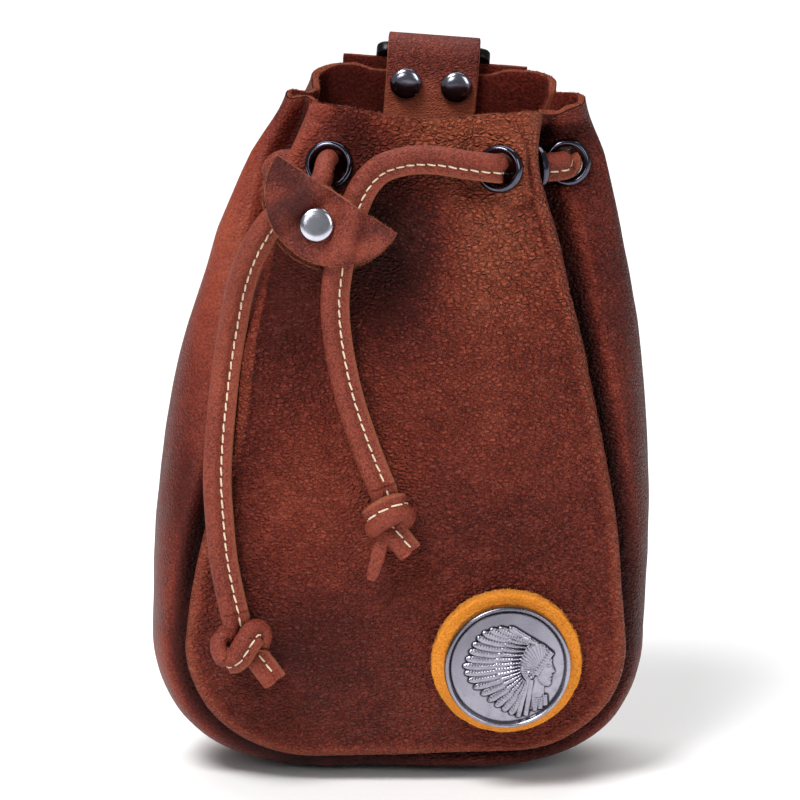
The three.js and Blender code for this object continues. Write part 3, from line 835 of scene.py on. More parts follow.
class Look(Enum):
    """The pouch's finishes, each with the record's slot that it belongs to."""

    LEATHER = Slot.LEATHER, LeatherFinish(
        "leather", srgb(80, 27, 20), srgb(122, 50, 36), srgb(157, 80, 56), srgb(132, 65, 46),
        srgb(118, 42, 31))
    STRAP = Slot.STRAP, LeatherFinish(
        "strap_leather", srgb(86, 35, 29), srgb(124, 56, 43), srgb(154, 79, 57), srgb(162, 92, 67),
        srgb(142, 72, 52), pebble=0.6, depth=0.16, contrast=0.2, speckle=0.55)
    ORANGE = Slot.ORANGE, LeatherFinish(
        "orange_leather", srgb(186, 104, 30), srgb(216, 134, 46), srgb(236, 160, 72), srgb(226, 146, 58),
        srgb(206, 124, 46), pebble=0.7, depth=0.15, contrast=0.15, roughness=(0.8, 0.95), specular=0.1)
    GUNMETAL = Slot.GUNMETAL, MetalFinish("gunmetal", srgb(84, 83, 97), srgb(10, 9, 13), (0.1, 0.18))
    # The rivets' copy of the gunmetal is painted brighter than the eyelets', so that the dim room shows as
    # brighter reflections in their caps.
    RIVET = Slot.GUNMETAL, MetalFinish("rivet_metal", srgb(158, 158, 174), srgb(84, 84, 98), (0.13, 0.21))
    SNAP = Slot.GUNMETAL, MetalFinish("snap_metal", srgb(196, 196, 208), srgb(140, 140, 154), (0.18, 0.28))
    PEWTER = Slot.PEWTER, MetalFinish("pewter", srgb(164, 161, 174), srgb(26, 24, 32), (0.22, 0.34))
    BLACK = Slot.BLACK, MetalFinish("black_metal", srgb(20, 20, 24), srgb(8, 8, 10), (0.25, 0.45), 0.6)
    THREAD = Slot.STRAP, ThreadFinish("thread", srgb(238, 220, 192), srgb(196, 174, 146))


@functools.cache
def material_of(look: Look) -> Material:
    """A finish's material, made once."""
    return look.value[1].material()


def dress(surface: Surface, name: str, look: Look, *nodes: str, body: Body = Body.BAG) -> Piece:
    """Args:
        surface: Its shape, in place.
        name: Its name.
        look: Its finish.
        *nodes: The frame's nodes that it stands for.
        body: The rigid body that it rides on.

    Returns:
        The piece.
    """
    piece = surface.build(name, material_of(look))
    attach(piece, body.value)
    if nodes:
        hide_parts(*nodes)
    log.info("%s: %d faces on %s", name, len(piece.data.polygons), body.value)
    return piece


# The studio


@dataclass(frozen=True)
class Studio:
    """Camera, floor and lights, in metres and degrees."""

    elevation: float = 13.0
    distance: float = 1.5
    aim: Point = (-0.0001, 0.0, 0.0889)
    view_width: float = 0.1905
    sensor: float = 36.0
    floor_half: float = 6.0
    floor_drop: float = 0.0002
    sky_strength: float = 0.16

    def camera(self) -> None:
        """Stands the camera at the photograph's angle."""
        data = bpy.data.cameras.new("camera")
        data.sensor_width = self.sensor
        data.lens = self.sensor * self.distance / self.view_width
        tilt = radians(self.elevation)
        camera = bpy.data.objects.new("camera", data)
        camera.location = Vector(self.aim) + self.distance * Vector((0, -cos(tilt), sin(tilt)))
        camera.rotation_euler = (pi / 2 - tilt, 0, 0)
        bpy.context.scene.collection.objects.link(camera)
        bpy.context.scene.camera = camera

    def softbox(self, name: str, at: Point, size: Flat, power: float) -> None:
        """Hangs a rectangular light that faces the pouch.

        Args:
            name: The light's name.
            at: Its place.
            size: Its width and height.
            power: Its power in watts.
        """
        data = bpy.data.lights.new(name, "AREA")
        data.shape = "RECTANGLE"
        data.size, data.size_y = size
        data.energy = power
        light = bpy.data.objects.new(name, data)
        light.location = at
        light.rotation_euler = (Vector(self.aim) - Vector(at)).to_track_quat("-Z", "Y").to_euler()
        bpy.context.scene.collection.objects.link(light)

    def floor(self) -> None:
        """Lays a wide pale floor."""
        corners = self.floor_half / MM * np.array([[-1, -1, 0], [1, -1, 0], [1, 1, 0], [-1, 1, 0]])
        g = Graph("floor")
        pale = g.mix(g.noise(400), srgb(246, 246, 246), srgb(249, 249, 249))
        slab = Surface(corners, np.array([[0, 1, 2, 3]])).build("floor", g.finish(pale, 0.9, None))
        slab.location.z = -self.floor_drop

    def build(self) -> None:
        """Makes the camera, floor and lights."""
        self.camera()
        self.floor()
        self.softbox("softbox_left", (-0.62, -0.85, 1.6), (0.7, 0.7), 34)
        self.softbox("softbox_right", (1.1, -1.2, 0.8), (0.6, 0.9), 6.5)
        self.softbox("softbox_front", (-0.5, -1.6, 0.85), (0.5, 0.5), 4)
        self.softbox("softbox_floor", (0.0, 1.3, 2.4), (3.4, 1.8), 62)
        world = bpy.data.worlds.new("studio")
        world.use_nodes = True
        sky = world.node_tree.nodes["Background"]
        sky.inputs["Color"].default_value = (1.0, 1.0, 1.0, 1.0)
        sky.inputs["Strength"].default_value = self.sky_strength
        bpy.context.scene.world = world
        bpy.context.scene.view_settings.view_transform = "Standard"


# Cords


@dataclass(frozen=True)
class CordSection:
    """A folded and stitched strip: a round fold, and a flat flange of two layers along its first axis."""

    fold: float = 2.3
    fold_at: float = -0.9
    flange: float = 1.05
    reach: float = 3.55
    seam: float = 1.15
    stitch_pitch: float = 2.55
    stitch_length: float = 1.95
    stitch_half: float = 0.25

    def outline(self) -> tuple[Array, dict[str, Array]]:
        """The section's points and its cut edge.

        Returns:
            The points in the section's two axes, and the value "edge" at them.
        """
        angles = np.linspace(0.42 * pi, pi, 9)
        upper = [(self.fold_at + self.fold * cos(a), self.fold * sin(a)) for a in angles]
        f, reach, seam = self.flange, self.reach, self.seam
        top = [(reach, 0.1), (reach + 0.02, 0.45 * f), (reach - 0.12, f), (2.7, 1.03 * f), (1.9, f),
               (seam + 0.3, 0.96 * f), (seam, 0.86 * f), (seam - 0.35, 1.1 * f), (0.4, 1.62 * f)]
        half = np.array(top + upper)
        outline = np.concatenate([[[self.reach - 0.3, 0.0]], half, (half * [1, -1])[-2::-1]])
        cut = np.where(outline[:, 0] > self.reach - 0.2, 1.0, 0.0)
        return outline, {"edge": cut}

    def stitches(self, path: Array, side: Array, start: float = 1.5, swell: Array | None = None) -> Surface:
        """Stitches along both faces of the seam.

        Args:
            path: The cord's middle line, at even steps.
            side: Direction of the flange at its points.
            start: Distance of the first stitch from the path's start.
            swell: The section's scale at the path's points.

        Returns:
            The stitches as one surface.
        """
        first, second = section_axes(path, side)
        length = travelled(path)
        scale = np.ones(len(path)) if swell is None else swell
        pieces = []
        for k, begin in enumerate(np.arange(start, length[-1] - self.stitch_length, self.stitch_pitch)):
            for face in (-1, 1):
                spots = begin + np.linspace(0, self.stitch_length, 7)
                rise = np.sin(np.linspace(0.12, 0.88, 7) * pi) ** 0.5
                slant = np.linspace(-0.12, 0.12, 7) * (1 if k % 2 else 0.6)
                at = [read_at(spots, length, a) for a in (path, first, second)]
                size = np.interp(spots, length, scale)
                line = (at[0] + at[1] * (size * self.seam + slant)[:, None]
                        + at[2] * (face * (0.86 * size * self.flange + 0.22 * rise))[:, None])
                pieces.append(self.stitch(line, at[1], rise))
        return joined(pieces)

    def stitch(self, line: Array, side: Array, rise: Array) -> Surface:
        """One stitch along a line, thinner where it dips towards its holes."""
        return swept(line, side, oval(8) * self.stitch_half * (0.35 + 0.65 * rise)[:, None, None])


# The cord's way. The run is held by the toggle and eyelets, and the ends hang free below the toggle.
RUN: tuple[Point, ...] = (
    (-12.67, -27.25, 134.1), (-10.74, -25.9, 141.05), (-8.6, -24.9, 145.6), (-4.8, -23.4, 149.4),
    (1.5, -22.8, 151.4), (8.5, -22.6, 151.5), (15.3, -22.4, 150.4), (22.0, -21.1, 149.3),
    (23.05, -16.5, 148.3), (23.2, -12.6, 147.6), (26.0, -10.2, 147.1), (30.77, -8.35, 146.9),
    (34.6, -7.2, 146.9), (38.3, -5.2, 146.9), (39.2, -1.3, 146.9), (39.5, 2.1, 146.9),
    (39.2, 5.6, 146.9), (39.0, 9.2, 147.3), (37.2, 11.2, 147.9), (33.74, 12.54, 148.3),
    (29.8, 14.4, 148.4), (20.0, 16.0, 148.3), (7.0, 16.4, 148.3), (-7.0, 16.4, 148.5),
    (-16.0, 15.6, 149.0), (-20.4, 14.5, 149.3), (-24.11, 12.76, 149.96), (-27.7, 11.6, 149.3),
    (-30.0, 10.9, 145.8), (-30.2, 9.0, 142.1), (-29.6, 5.8, 140.8), (-29.6, 2.3, 140.8),
    (-29.6, -1.2, 140.8), (-30.1, -4.5, 142.0), (-29.9, -6.4, 145.4), (-27.6, -7.2, 147.7),
    (-24.11, -8.52, 147.6), (-20.4, -10.2, 147.4), (-17.4, -12.4, 148.3), (-16.67, -16.35, 149.3),
    (-17.2, -20.4, 149.9), (-18.67, -24.9, 146.2), (-24.45, -25.76, 141.75),
)
LEFT_END: tuple[Point, ...] = (
    (-24.9, -25.85, 141.4), (-30.2, -27.0, 137.3), (-34.6, -24.6, 129.9), (-37.6, -20.8, 120.8),
    (-39.4, -18.4, 111.3), (-40.9, -17.8, 101.8), (-42.0, -19.0, 92.7), (-42.8, -21.8, 84.3),
    (-43.2, -24.5, 75.4), (-42.7, -25.9, 66.0), (-41.8, -26.8, 56.5), (-40.4, -27.4, 48.9),
    (-38.9, -28.1, 42.3),
)
RIGHT_END: tuple[Point, ...] = (
    (-12.85, -27.4, 133.65), (-14.5, -28.5, 127.3), (-15.4, -28.2, 119.8), (-15.1, -27.8, 112.2),
    (-13.9, -28.1, 104.0), (-12.0, -29.0, 95.8), (-9.2, -30.2, 87.1), (-6.3, -31.1, 79.4),
    (-4.1, -32.0, 74.2),
)
# Each knot's way from its cord's end: offsets from its middle, the flange's direction, the section's scale.
Bight = tuple[Point, Point, float]
LEFT_KNOT_AT: Point = (-37.0, -28.9, 36.0)
LEFT_KNOT: tuple[Bight, ...] = (
    ((-2.2, 0.75, 8.2), (1, 0, 0.2), 0.97), ((-1.9, 0.8, 6.1), (1, 0, 0.2), 0.98),
    ((-2.0, 1.3, 3.8), (1, 0.3, 0.2), 0.95), ((-2.8, 1.7, 2.2), (0.8, 0.8, 0), 0.92),
    ((-4.2, 1.2, 2.4), (0.2, 1, 0.2), 0.9), ((-5.3, 0.0, 1.4), (0.3, 0.95, 0.1), 0.9),
    ((-5.0, -1.4, -0.8), (0.6, 0.8, 0.1), 0.9), ((-3.5, -2.1, -3.0), (0.6, 0.2, -0.7), 0.9),
    ((-1.5, -2.7, -2.0), (0.8, 0, -0.5), 0.92), ((0.9, -2.9, 1.8), (0.85, 0, -0.5), 0.94),
    ((2.8, -1.5, 4.0), (0.5, -0.2, -0.9), 0.94), ((4.0, 0.8, 2.6), (-0.6, 0.6, -0.3), 0.94),
    ((3.0, 1.3, -0.6), (-0.6, 0, 0.5), 0.94), ((3.4, 0.2, -3.0), (0.6, 0, 0.6), 0.92),
    ((5.3, -0.3, -5.7), (0.8, 0, 0.5), 0.92), ((7.2, -0.1, -8.4), (0.8, 0, 0.5), 0.9),
)
RIGHT_KNOT_AT: Point = (-2.6, -33.1, 68.0)
RIGHT_KNOT: tuple[Bight, ...] = (
    ((-2.0, 1.0, 7.8), (1, 0, 0.3), 0.97), ((-1.5, 1.1, 6.0), (1, 0, 0.3), 0.98),
    ((-0.9, 1.5, 3.2), (1, 0, 0.3), 0.98), ((0.6, 1.9, -0.4), (1, 0, 0.5), 1.0),
    ((2.4, 1.5, -0.6), (0.6, 0, 0.8), 1.0), ((3.6, 0.2, 1.6), (-0.4, 0, 0.9), 1.0),
    ((2.8, -1.7, 2.9), (-0.3, 0, 1), 1.02), ((0.6, -2.6, 2.6), (-0.2, 0, 1), 1.05),
    ((-1.9, -2.6, 1.2), (-0.3, 0, 1), 1.05), ((-3.5, -1.4, -0.4), (-0.5, 0, 0.9), 1.0),
    ((-3.2, 0.7, -1.6), (0.2, 0, 1), 0.98), ((-1.2, 1.1, -2.0), (0.4, 0, 1), 0.98),
    ((0.9, -0.3, -3.4), (0.8, 0, 0.6), 0.95), ((2.9, -0.9, -5.6), (0.8, 0, 0.6), 0.92),
    ((4.6, -0.6, -7.8), (0.8, 0, 0.6), 0.9),
)
RIGHT_TAIL: tuple[Point, ...] = (
    (-0.8, 0.2, -3.2), (-1.9, -0.5, -6.2), (-3.1, -0.7, -10.4), (-4.3, -0.4, -14.6),
)


@dataclass(frozen=True)
class Cords:
    """The drawstring's held run, its two free ends and their knots."""

    section: CordSection = CordSection()
    step: float = 0.9
    declared: float = 5.6
    knot_step: float = 0.6
    fins_y: float = 2.1
    fins_half: float = 4.5

    def sewn(self, name: str, path: Array, side: Array, node: str) -> tuple[Piece, Piece]:
        """Builds one stretch of cord and its stitches.

        Args:
            name: The cord's name.
            path: Its middle line.
            side: The flange's direction along it.
            node: The frame's node that it stands for.

        Returns:
            The cord and its stitches.
        """
        outline, values = self.section.outline()
        cord = dress(swept(path, side, outline, values), name, Look.STRAP, node)
        return cord, dress(self.section.stitches(path, side), name + "_stitches", Look.THREAD)

    def knot(self, hand: Side, at: Point, way: Sequence[Bight], tail: Sequence[Point]) -> list[Piece]:
        """Builds one overhand knot.

        Args:
            hand: The side that it hangs on.
            at: Its middle.
            way: Offsets of its middle line, with the flange's direction and the section's scale there.
            tail: Offsets of a split tail, or nothing.

        Returns:
            The knot's pieces.
        """
        middle = [np.add(at, p) for p, _, _ in way]
        path, side = route(middle, self.knot_step, np.array([unit(np.array(s, float)) for _, s, _ in way]))
        swell = route(middle, self.knot_step, np.array([(k, k, k) for _, _, k in way]))[1][:, 0]
        outline, values = self.section.outline()
        surfaces = [swept(path, side, outline[None] * swell[:, None, None], values)]
        if tail:
            flats = np.tile([1.0, -0.2, 0.3], (len(tail), 1))
            strip, flat = route([np.add(at, p) for p in tail], self.knot_step, flats)
            width = np.interp(np.linspace(0, 1, len(strip)), [0, 0.5, 0.9, 1], [1.0, 1.0, 0.85, 0.6])
            surfaces.append(swept(strip, flat, oval(16, 0.55) * [1.7, 1.0] * width[:, None, None]))
        name = f"knot_{hand.value}"
        thread = self.section.stitches(path, side, 1.2, swell)
        return [dress(joined(surfaces), name + "_cord", Look.STRAP, name),
                dress(thread, name + "_stitches", Look.THREAD)]

    def free_end(self, hand: Side, points: Sequence[Point]) -> None:
        """Args:
            hand: The side that it hangs on.
            points: Its way.
        """
        path, side = route(points, self.step, np.tile([1.0, 0.0, 0.15], (len(points), 1)))
        cord, thread = self.sewn(f"cord_{hand.value}", path, side, f"cord_end_{hand.value}")

    def build(self) -> None:
        """Builds the run, the knots and the free ends."""
        sides = np.tile([0.0, 0.0, -1.0], (len(RUN), 1))
        sides[:4] = ((0.97, 0, 0.2), (0.95, 0, -0.3), (0.8, 0, -0.6), (0.5, 0, -0.86))
        sides[-4:] = ((0, 0.6, -0.8), (0.2, 1, -0.3), (0.4, 0.9, -0.2), (0.6, 0, -0.8))
        for k, (x, y, _) in enumerate(RUN):
            if abs(y - self.fins_y) < self.fins_half:
                sides[k] = (1, 0, 0.55) if x > 0 else (-1, 0, -0.4)
        path, side = route(RUN, self.step, sides)
        self.sewn("drawstring_run", path, side, "drawstring")
        left = self.knot(Side.LEFT, LEFT_KNOT_AT, LEFT_KNOT, ())
        right = self.knot(Side.RIGHT, RIGHT_KNOT_AT, RIGHT_KNOT, RIGHT_TAIL)
        self.free_end(Side.LEFT, LEFT_END)
        self.free_end(Side.RIGHT, RIGHT_END)


# Round hardware


def node_points(node: str) -> Array:
    """The points of one of the frame's nodes."""
    return np.array([v.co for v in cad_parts[node].data.vertices]) / MM


@dataclass(frozen=True)
class Spindle:
    """Where a round part of the frame sits: the underside of its head, and its axis."""

    origin: Array
    axis: Array
    radius: float

    @staticmethod
    def of_node(node: str, towards: Point | None = None) -> Spindle:
        """Finds a node's axis from its own mesh.

        Args:
            node: The node's name.
            towards: Which way its head faces. Without it, the wider end is the head.

        Returns:
            The spindle.
        """
        points = node_points(node)
        middle = points.mean(axis=0)
        sizes, axes = np.linalg.eigh(np.cov((points - middle).T))
        axis = axes[:, 0] if sizes[1] - sizes[0] > sizes[2] - sizes[1] else axes[:, 2]
        height = (points - middle) @ axis
        away = np.linalg.norm(points - middle - height[:, None] * axis, axis=1)
        widest = away > 0.97 * away.max()
        up = float(np.dot(axis, towards)) if towards else float(height[widest].mean())
        if up < 0:
            axis, height = -axis, -height
        head = height[widest & (height > 0)].min()
        return Spindle(middle + head * axis, axis, float(away.max()))


# Eyelets that lie under the toggle, with how far each is pushed further under it.
PRESSED: dict[str, Point] = {
    "eyelet_tuck_left": (0.3, 0.0, -1.2),
    "eyelet_fin_front_left": (2.4, 0.0, -0.6),
    "eyelet_fin_rear_left": (0.8, 0.0, 0.0),
}
# Eyelets that the cord pulls round, with what that adds to their axis.
PULLED: dict[str, Point] = {"eyelet_front_right": (-0.42, 0.0, 0.0)}
STILL: Point = (0.0, 0.0, 0.0)


def eyelet_seat(name: str) -> Spindle:
    """Where an eyelet sits in its leather."""
    seat = Spindle.of_node(name)
    return replace(seat, origin=seat.origin + PRESSED.get(name, STILL))


@dataclass(frozen=True)
class Hardware:
    """Eyelets, strap rivets and the toggle's snap."""

    hole: float = 3.75
    barrel: float = 4.15
    flange: float = 5.7
    grip: float = 2.9
    rise: float = 1.3
    pressed_flange: float = 4.6
    pressed_rise: float = 0.45
    rivet_cap: Flat = (1.5, 0.8)
    rivet_depth: float = 11.4
    rivet_raise: float = 1.2
    snap_cap: Flat = (1.1, 0.4)
    snap_depth: float = 8.4

    def eyelet(self, name: str) -> None:
        """Builds one rolled eyelet, pressed flatter where the toggle lies over it.

        Args:
            name: The node's name.
        """
        seat = eyelet_seat(name)
        axis = unit(seat.axis + PULLED.get(name, STILL))
        low = -0.5
        pressed = self.pressed_flange, self.pressed_rise
        rim, rise = pressed if name in PRESSED else (self.flange, self.rise)
        hole, grip, middle = self.hole, self.grip, (self.hole + rim) / 2
        roll = rounded_profile([(hole, -grip), (hole, -0.1), (hole + 0.1, 0.55 * rise), (middle - 0.2, rise),
                                (middle + 0.35, 0.94 * rise), (rim - 0.05, 0.45 * rise), (rim, low)])
        back = [(self.barrel, low), (self.barrel, -grip + 0.1), (4.3, -grip - 0.2), (4.2, -grip - 0.5),
                (hole, -grip - 0.4), (hole, -grip)]
        ring = spun([*roll, *back], seat.origin, axis)
        # Painted shade: the barrel and the flange's underside take the near black tarnish colour.
        ring.values["recess"] = 1 - smoothstep((ring.points - seat.origin) @ axis, -1.2, 0.3)
        dress(ring, name + "_rolled", Look.GUNMETAL, name)

    def rivet(self, name: str, cap: Flat, depth: float, metal: Look, up: float = 0.0) -> None:
        """Builds one double-cap rivet in place of its node.

        Args:
            name: The node's name.
            cap: Height of the front cap, and how round it is.
            depth: Distance between the caps' undersides.
            metal: Its finish.
            up: How much higher than its node it sits.
        """
        seat = Spindle.of_node(name, (0, -1, 0))
        origin, r = seat.origin + [0, 0, up], seat.radius
        dome, power = cap
        crown = [(r * cos(a) ** power, 0.2 + (dome - 0.2) * sin(a))
                 for a in np.linspace(0, pi / 2, 20)]
        front = [(1.2, -0.35), (r - 0.15, -0.35), (r - 0.03, -0.2), *crown[:-1], (0, dome)]
        under = [(0, -depth - 0.9), (r * 0.6, -depth - 0.75), (r * 0.85, -depth - 0.4),
                 (r * 0.85, -depth + 0.1), (1.2, -depth + 0.1)]
        dress(spun([*under, *front], origin, seat.axis), name + "_domed", metal, name)

    def build(self) -> None:
        """Builds every round piece."""
        for side in Side:
            for row in ("front", "tuck", "fin_front", "fin_rear", "rear"):
                self.eyelet(f"eyelet_{row}_{side.value}")
            self.rivet(f"strap_rivet_{side.value}", self.rivet_cap, self.rivet_depth, Look.RIVET,
                       self.rivet_raise)
        self.rivet("toggle_snap", self.snap_cap, self.snap_depth, Look.SNAP)


# The body


@dataclass(frozen=True)
class Levels:
    """Rows of numbers under named columns, read at any height on a smooth curve."""

    columns: tuple[str, ...]
    rows: Table

    def at(self, z: Array) -> dict[str, Array]:
        """Reads every column at some heights.

        Args:
            z: The heights.

        Returns:
            The columns' values there.
        """
        table = np.array(self.rows)
        last = len(table) - 1
        row = np.clip(np.searchsorted(-table[:, 0], -z, side="right") - 1, 0, last - 1)
        share = np.clip((table[row, 0] - z) / (table[row, 0] - table[row + 1, 0]), 0, 1)[:, None]
        before, start, end, after = (table[np.clip(row + k, 0, last)] for k in (-1, 0, 1, 2))
        found = hermite(share, start, end, (end - before) / 2, (after - start) / 2)
        return dict(zip(self.columns, found.T)) | {"z": z}


LEVELS = Levels(
    ("z", "left", "right", "side_left", "side_right", "front", "back", "crown", "turn", "tuck", "spread"),
    (
        (159.8, -21.2, 33.2, -27.0, 43.6, -16.0, 16.0, 1.5, 93, 9.5, 4.0),
        (147, -27.2, 32.5, -35.4, 48.4, -18.8, 18.8, 2.5, 115, 12.0, 3.0),
        (130, -32.0, 37.5, -43.3, 52.4, -20.6, 20.3, 4.0, 125, 10.0, 1.0),
        (108, -36.4, 42.2, -50.2, 56.3, -22.0, 21.4, 5.5, 145, 8.0, 0),
        (84, -39.8, 47.4, -55.6, 58.8, -23.5, 22.6, 6.5, 165, 6.0, 0),
        (60, -46.8, 51.6, -58.4, 59.2, -24.5, 23.2, 6.5, 180, 5.0, 0),
        (34, -51.0, 53.3, -59.4, 58.4, -24.5, 23.2, 6.0, 180, 5.0, 0),
    ),
)
TOP, LOW = LEVELS.rows[0][0], LEVELS.rows[-1][0]


@dataclass(frozen=True)
class Corner:
    """Where a bottom corner's quarter ellipses end: the panels' fold and the gusset's outermost line."""

    x: float
    fold: float
    outer: float


@dataclass
class Stations:
    """Places along the U that runs down the left side, along the bottom and up the right side."""

    fold: Array
    outer: Array
    level: dict[str, Array]

    def out(self) -> Array:
        """Directions from the panels' folds to the gusset's outermost line."""
        return unit(self.outer - self.fold)


@dataclass
class PouchBody:
    """The front panel, the gusset and the back panel."""

    leather: float = 2.0
    rim: CutEdge = CutEdge(fibres=6.0, fibres_above=155.5)
    gap: float = 0.3
    midplane_y: float = 2.1
    fold_radius: float = 2.6
    rim_radius_front: float = 6.0
    rim_radius_back: float = 6.5
    fold_opens: float = 150.0
    rim_fall: float = 0.9
    rim_fall_width: float = 14.0
    back_crown: float = 0.35
    rim_rise: float = 6.7
    rim_slope: float = 0.05
    rim_dip: float = 0.4
    rim_tuck: float = 5.0
    rim_tuck_from: float = 152.0
    rim_pressed: Row = (7.3, 13.0, 19.0, 1.5)
    rim_front: float = 0.3
    rim_front_band: float = 6.0
    rim_left: float = 3.0
    rim_right: float = 1.0
    rim_notch: Row = (35.5, -8.5, 3.5, 5.5, 2.2)
    rim_from: float = 118.0
    left: Corner = Corner(-20.0, 6.2, -16.0)
    right: Corner = Corner(27.0, 7.6, 16.0)
    corner_full: float = 0.84
    bottom_front: float = -23.0
    bottom_back: float = 22.0
    bottom_reach: float = 0.2
    spine_low: float = 56.0
    spine_power: float = 1.25
    gusset_reach: float = 0.68
    gusset_full: float = 0.74
    gusset_bulge: float = 3.6
    bulge_fades: Flat = (92, 132)
    valley: float = 2.2
    valley_width: float = 6.0
    hollows: Table = (
        (-24, 88, 9, 34, 1.8), (29, 127, 6, 16, 1.0), (2, 134, 14, 14, 0.8),
    )
    # Patches on the front panel: X, Z, half width, half height and amount. Some shift the leather's own tone;
    # the others are painted light: shadow right of the toggle and beside the left cord, shade low on the
    # panel and at its upper left, and light along the rim.
    tones: Table = (
        (23, 132, 13, 18, 0.45), (-36, 78, 8, 38, -0.2), (-24, 34, 16, 16, -0.3), (40, 90, 12, 40, -0.05),
        (0, 12, 40, 8, -0.12), (-3, 130, 12, 18, -1.0), (-26, 115, 9, 18, -0.5), (6, 30, 60, 26, -0.15),
        (22, 62, 22, 20, -0.2), (17, 158, 22, 11, 0.8), (-12, 156, 9, 10, -0.45),
    )
    smooth_x: Flat = (9, 19)
    smooth_z: Flat = (95, 125)
    shade_fades: Flat = (105, 140)
    # Painted light on the gusset: light on the upper left shoulder, shade in the lower left valley and on the
    # right side.
    gusset_light_and_shade: Table = (
        (-38, 132, 24, 26, 0.45), (-50, 63, 4, 16, -0.4), (49, 95, 14, 50, -0.1),
    )
    dents: Table = ((0.45, 21, 0), (0.16, 8, 5))
    wrinkle_size: float = 5.5
    wrinkle_depth: float = 0.3
    wrinkled: Table = ((38, 106, 17, 32, 1.0), (4, 126, 22, 16, 0.7))
    side_steps: int = 110
    corner_steps: int = 26
    floor_steps: int = 40
    tuck_steps: int = 8
    roll_steps: int = 10
    face_steps: int = 56
    gusset_steps: int = 26
    hole: float = 4.45
    hole_depth: float = 3.2
    pull: Row = (23.0, 148.2, 0.4, 5.6, 12.0)

    @functools.cached_property
    def st(self) -> Stations:
        """The stations of the U.

        Returns:
            The stations, an odd number of them.
        """
        base = LEVELS.at(np.array([LOW]))
        halves = []
        for corner, fold, outer in ((self.left, "left", "side_left"), (self.right, "right", "side_right")):
            z = np.linspace(TOP, LOW, self.side_steps, endpoint=False)
            level = LEVELS.at(z)
            share = np.arange(self.corner_steps) / self.corner_steps
            across, down = np.cos(share * pi / 2), np.sin(share * pi / 2)
            lines = {}
            for key, end_x, end_z, full in ((fold, corner.x, corner.fold, 1.0),
                                            (outer, corner.outer, self.bottom_reach, self.corner_full)):
                bend = np.stack([end_x + (base[key] - end_x) * across ** full, 0 * down,
                                 LOW + (end_z - LOW) * down ** full], axis=1)
                lines[key] = np.concatenate([np.stack([level[key], 0 * z, z], axis=1), bend])
            columns = {k: np.concatenate([v, np.repeat(base[k], len(share))]) for k, v in level.items()}
            columns["front"][self.side_steps:] += (self.bottom_front - base["front"]) * share
            columns["back"][self.side_steps:] += (self.bottom_back - base["back"]) * share
            halves.append((lines[fold], lines[outer], columns))
        share = np.linspace(0, 1, self.floor_steps + 1)
        flat = [np.stack([a + (b - a) * share, 0 * share, c + (d - c) * share], axis=1) for a, b, c, d in (
            (self.left.x, self.right.x, self.left.fold, self.right.fold),
            (self.left.outer, self.right.outer, self.bottom_reach, self.bottom_reach))]
        floor = {k: np.repeat(v, len(share)) for k, v in base.items()}
        floor["front"][:] = self.bottom_front
        floor["back"][:] = self.bottom_back
        (l_fold, l_outer, l_level), (r_fold, r_outer, r_level) = halves
        level = {k: np.concatenate([l_level[k], floor[k], r_level[k][::-1]]) for k in floor}
        return Stations(np.concatenate([l_fold, flat[0], r_fold[::-1]]),
                        np.concatenate([l_outer, flat[1], r_outer[::-1]]), level)

    def settle(self, points: Array) -> Array:
        """Raises the rim towards the back, and flattens the bottom where it rests.

        Args:
            points: Points of a wall.

        Returns:
            The points, in the frame.
        """
        rim = dict(zip(LEVELS.columns, LEVELS.rows[0]))
        x, y, z = (points[..., k] for k in range(3))
        high = np.clip((z - self.rim_from) / (rim["z"] - self.rim_from), 0, 1) ** 2
        behind = np.clip((y - rim["front"]) / (rim["back"] - rim["front"]), 0, 1) ** 1.5
        centre, half = (rim["left"] + rim["right"]) / 2, (rim["right"] - rim["left"]) / 2
        middle = np.maximum(0, 1 - ((x - centre) / half) ** 2)
        lift = behind * (self.rim_rise - self.rim_slope * (x - centre)) - (1 - behind) * self.rim_dip * middle
        lift -= self.rim_fall * behind * smoothstep(centre - x, half - self.rim_fall_width, half)
        strap_x, near, far, press = self.rim_pressed
        lift -= press * behind * (1 - smoothstep(np.abs(x - strap_x), near, far))
        ends = (self.rim_left * smoothstep(centre - x, 0, half)
                + self.rim_right * smoothstep(x - centre, 0, half))
        inward = np.maximum(0, y - rim["front"])
        lift += (self.rim_front + ends) * np.exp(-(inward / self.rim_front_band) ** 2)
        *notch, drop = self.rim_notch
        lift -= drop * spot(x, y, *notch)
        return np.stack([x, y + self.midplane_y, np.maximum(z + high * lift, 0)], axis=-1)

    def fold_points(self, facing: Facing, angle: Array, along: Array | float = 0.0) -> Array:
        """Points on a panel's turned edge.

        Args:
            facing: The panel.
            angle: How far round the fold, where 0 is the panel's face.
            along: How far along the tucked strip behind the fold.

        Returns:
            A point for each station.
        """
        face = self.st.level[facing.name.lower()]
        out = self.st.out()
        radius = self.fold_radii(facing)
        outward = radius * (np.sin(angle) - 1) + along * np.cos(angle)
        points = self.st.fold + out * outward[:, None]
        if facing is Facing.BACK:
            points[:, 0] += np.where(out[:, 0] > 0, self.st.level["spread"], 0)
        points[:, 1] = face - facing.value * (radius * (1 - np.cos(angle)) + along * np.sin(angle))
        return points

    def fold_radii(self, facing: Facing) -> Array:
        """The fold's radius at each station, which opens towards the rim."""
        wider = (self.rim_radius_front if facing is Facing.FRONT else self.rim_radius_back) - self.fold_radius
        return self.fold_radius + wider * smoothstep(self.st.fold[:, 2], self.fold_opens, TOP)

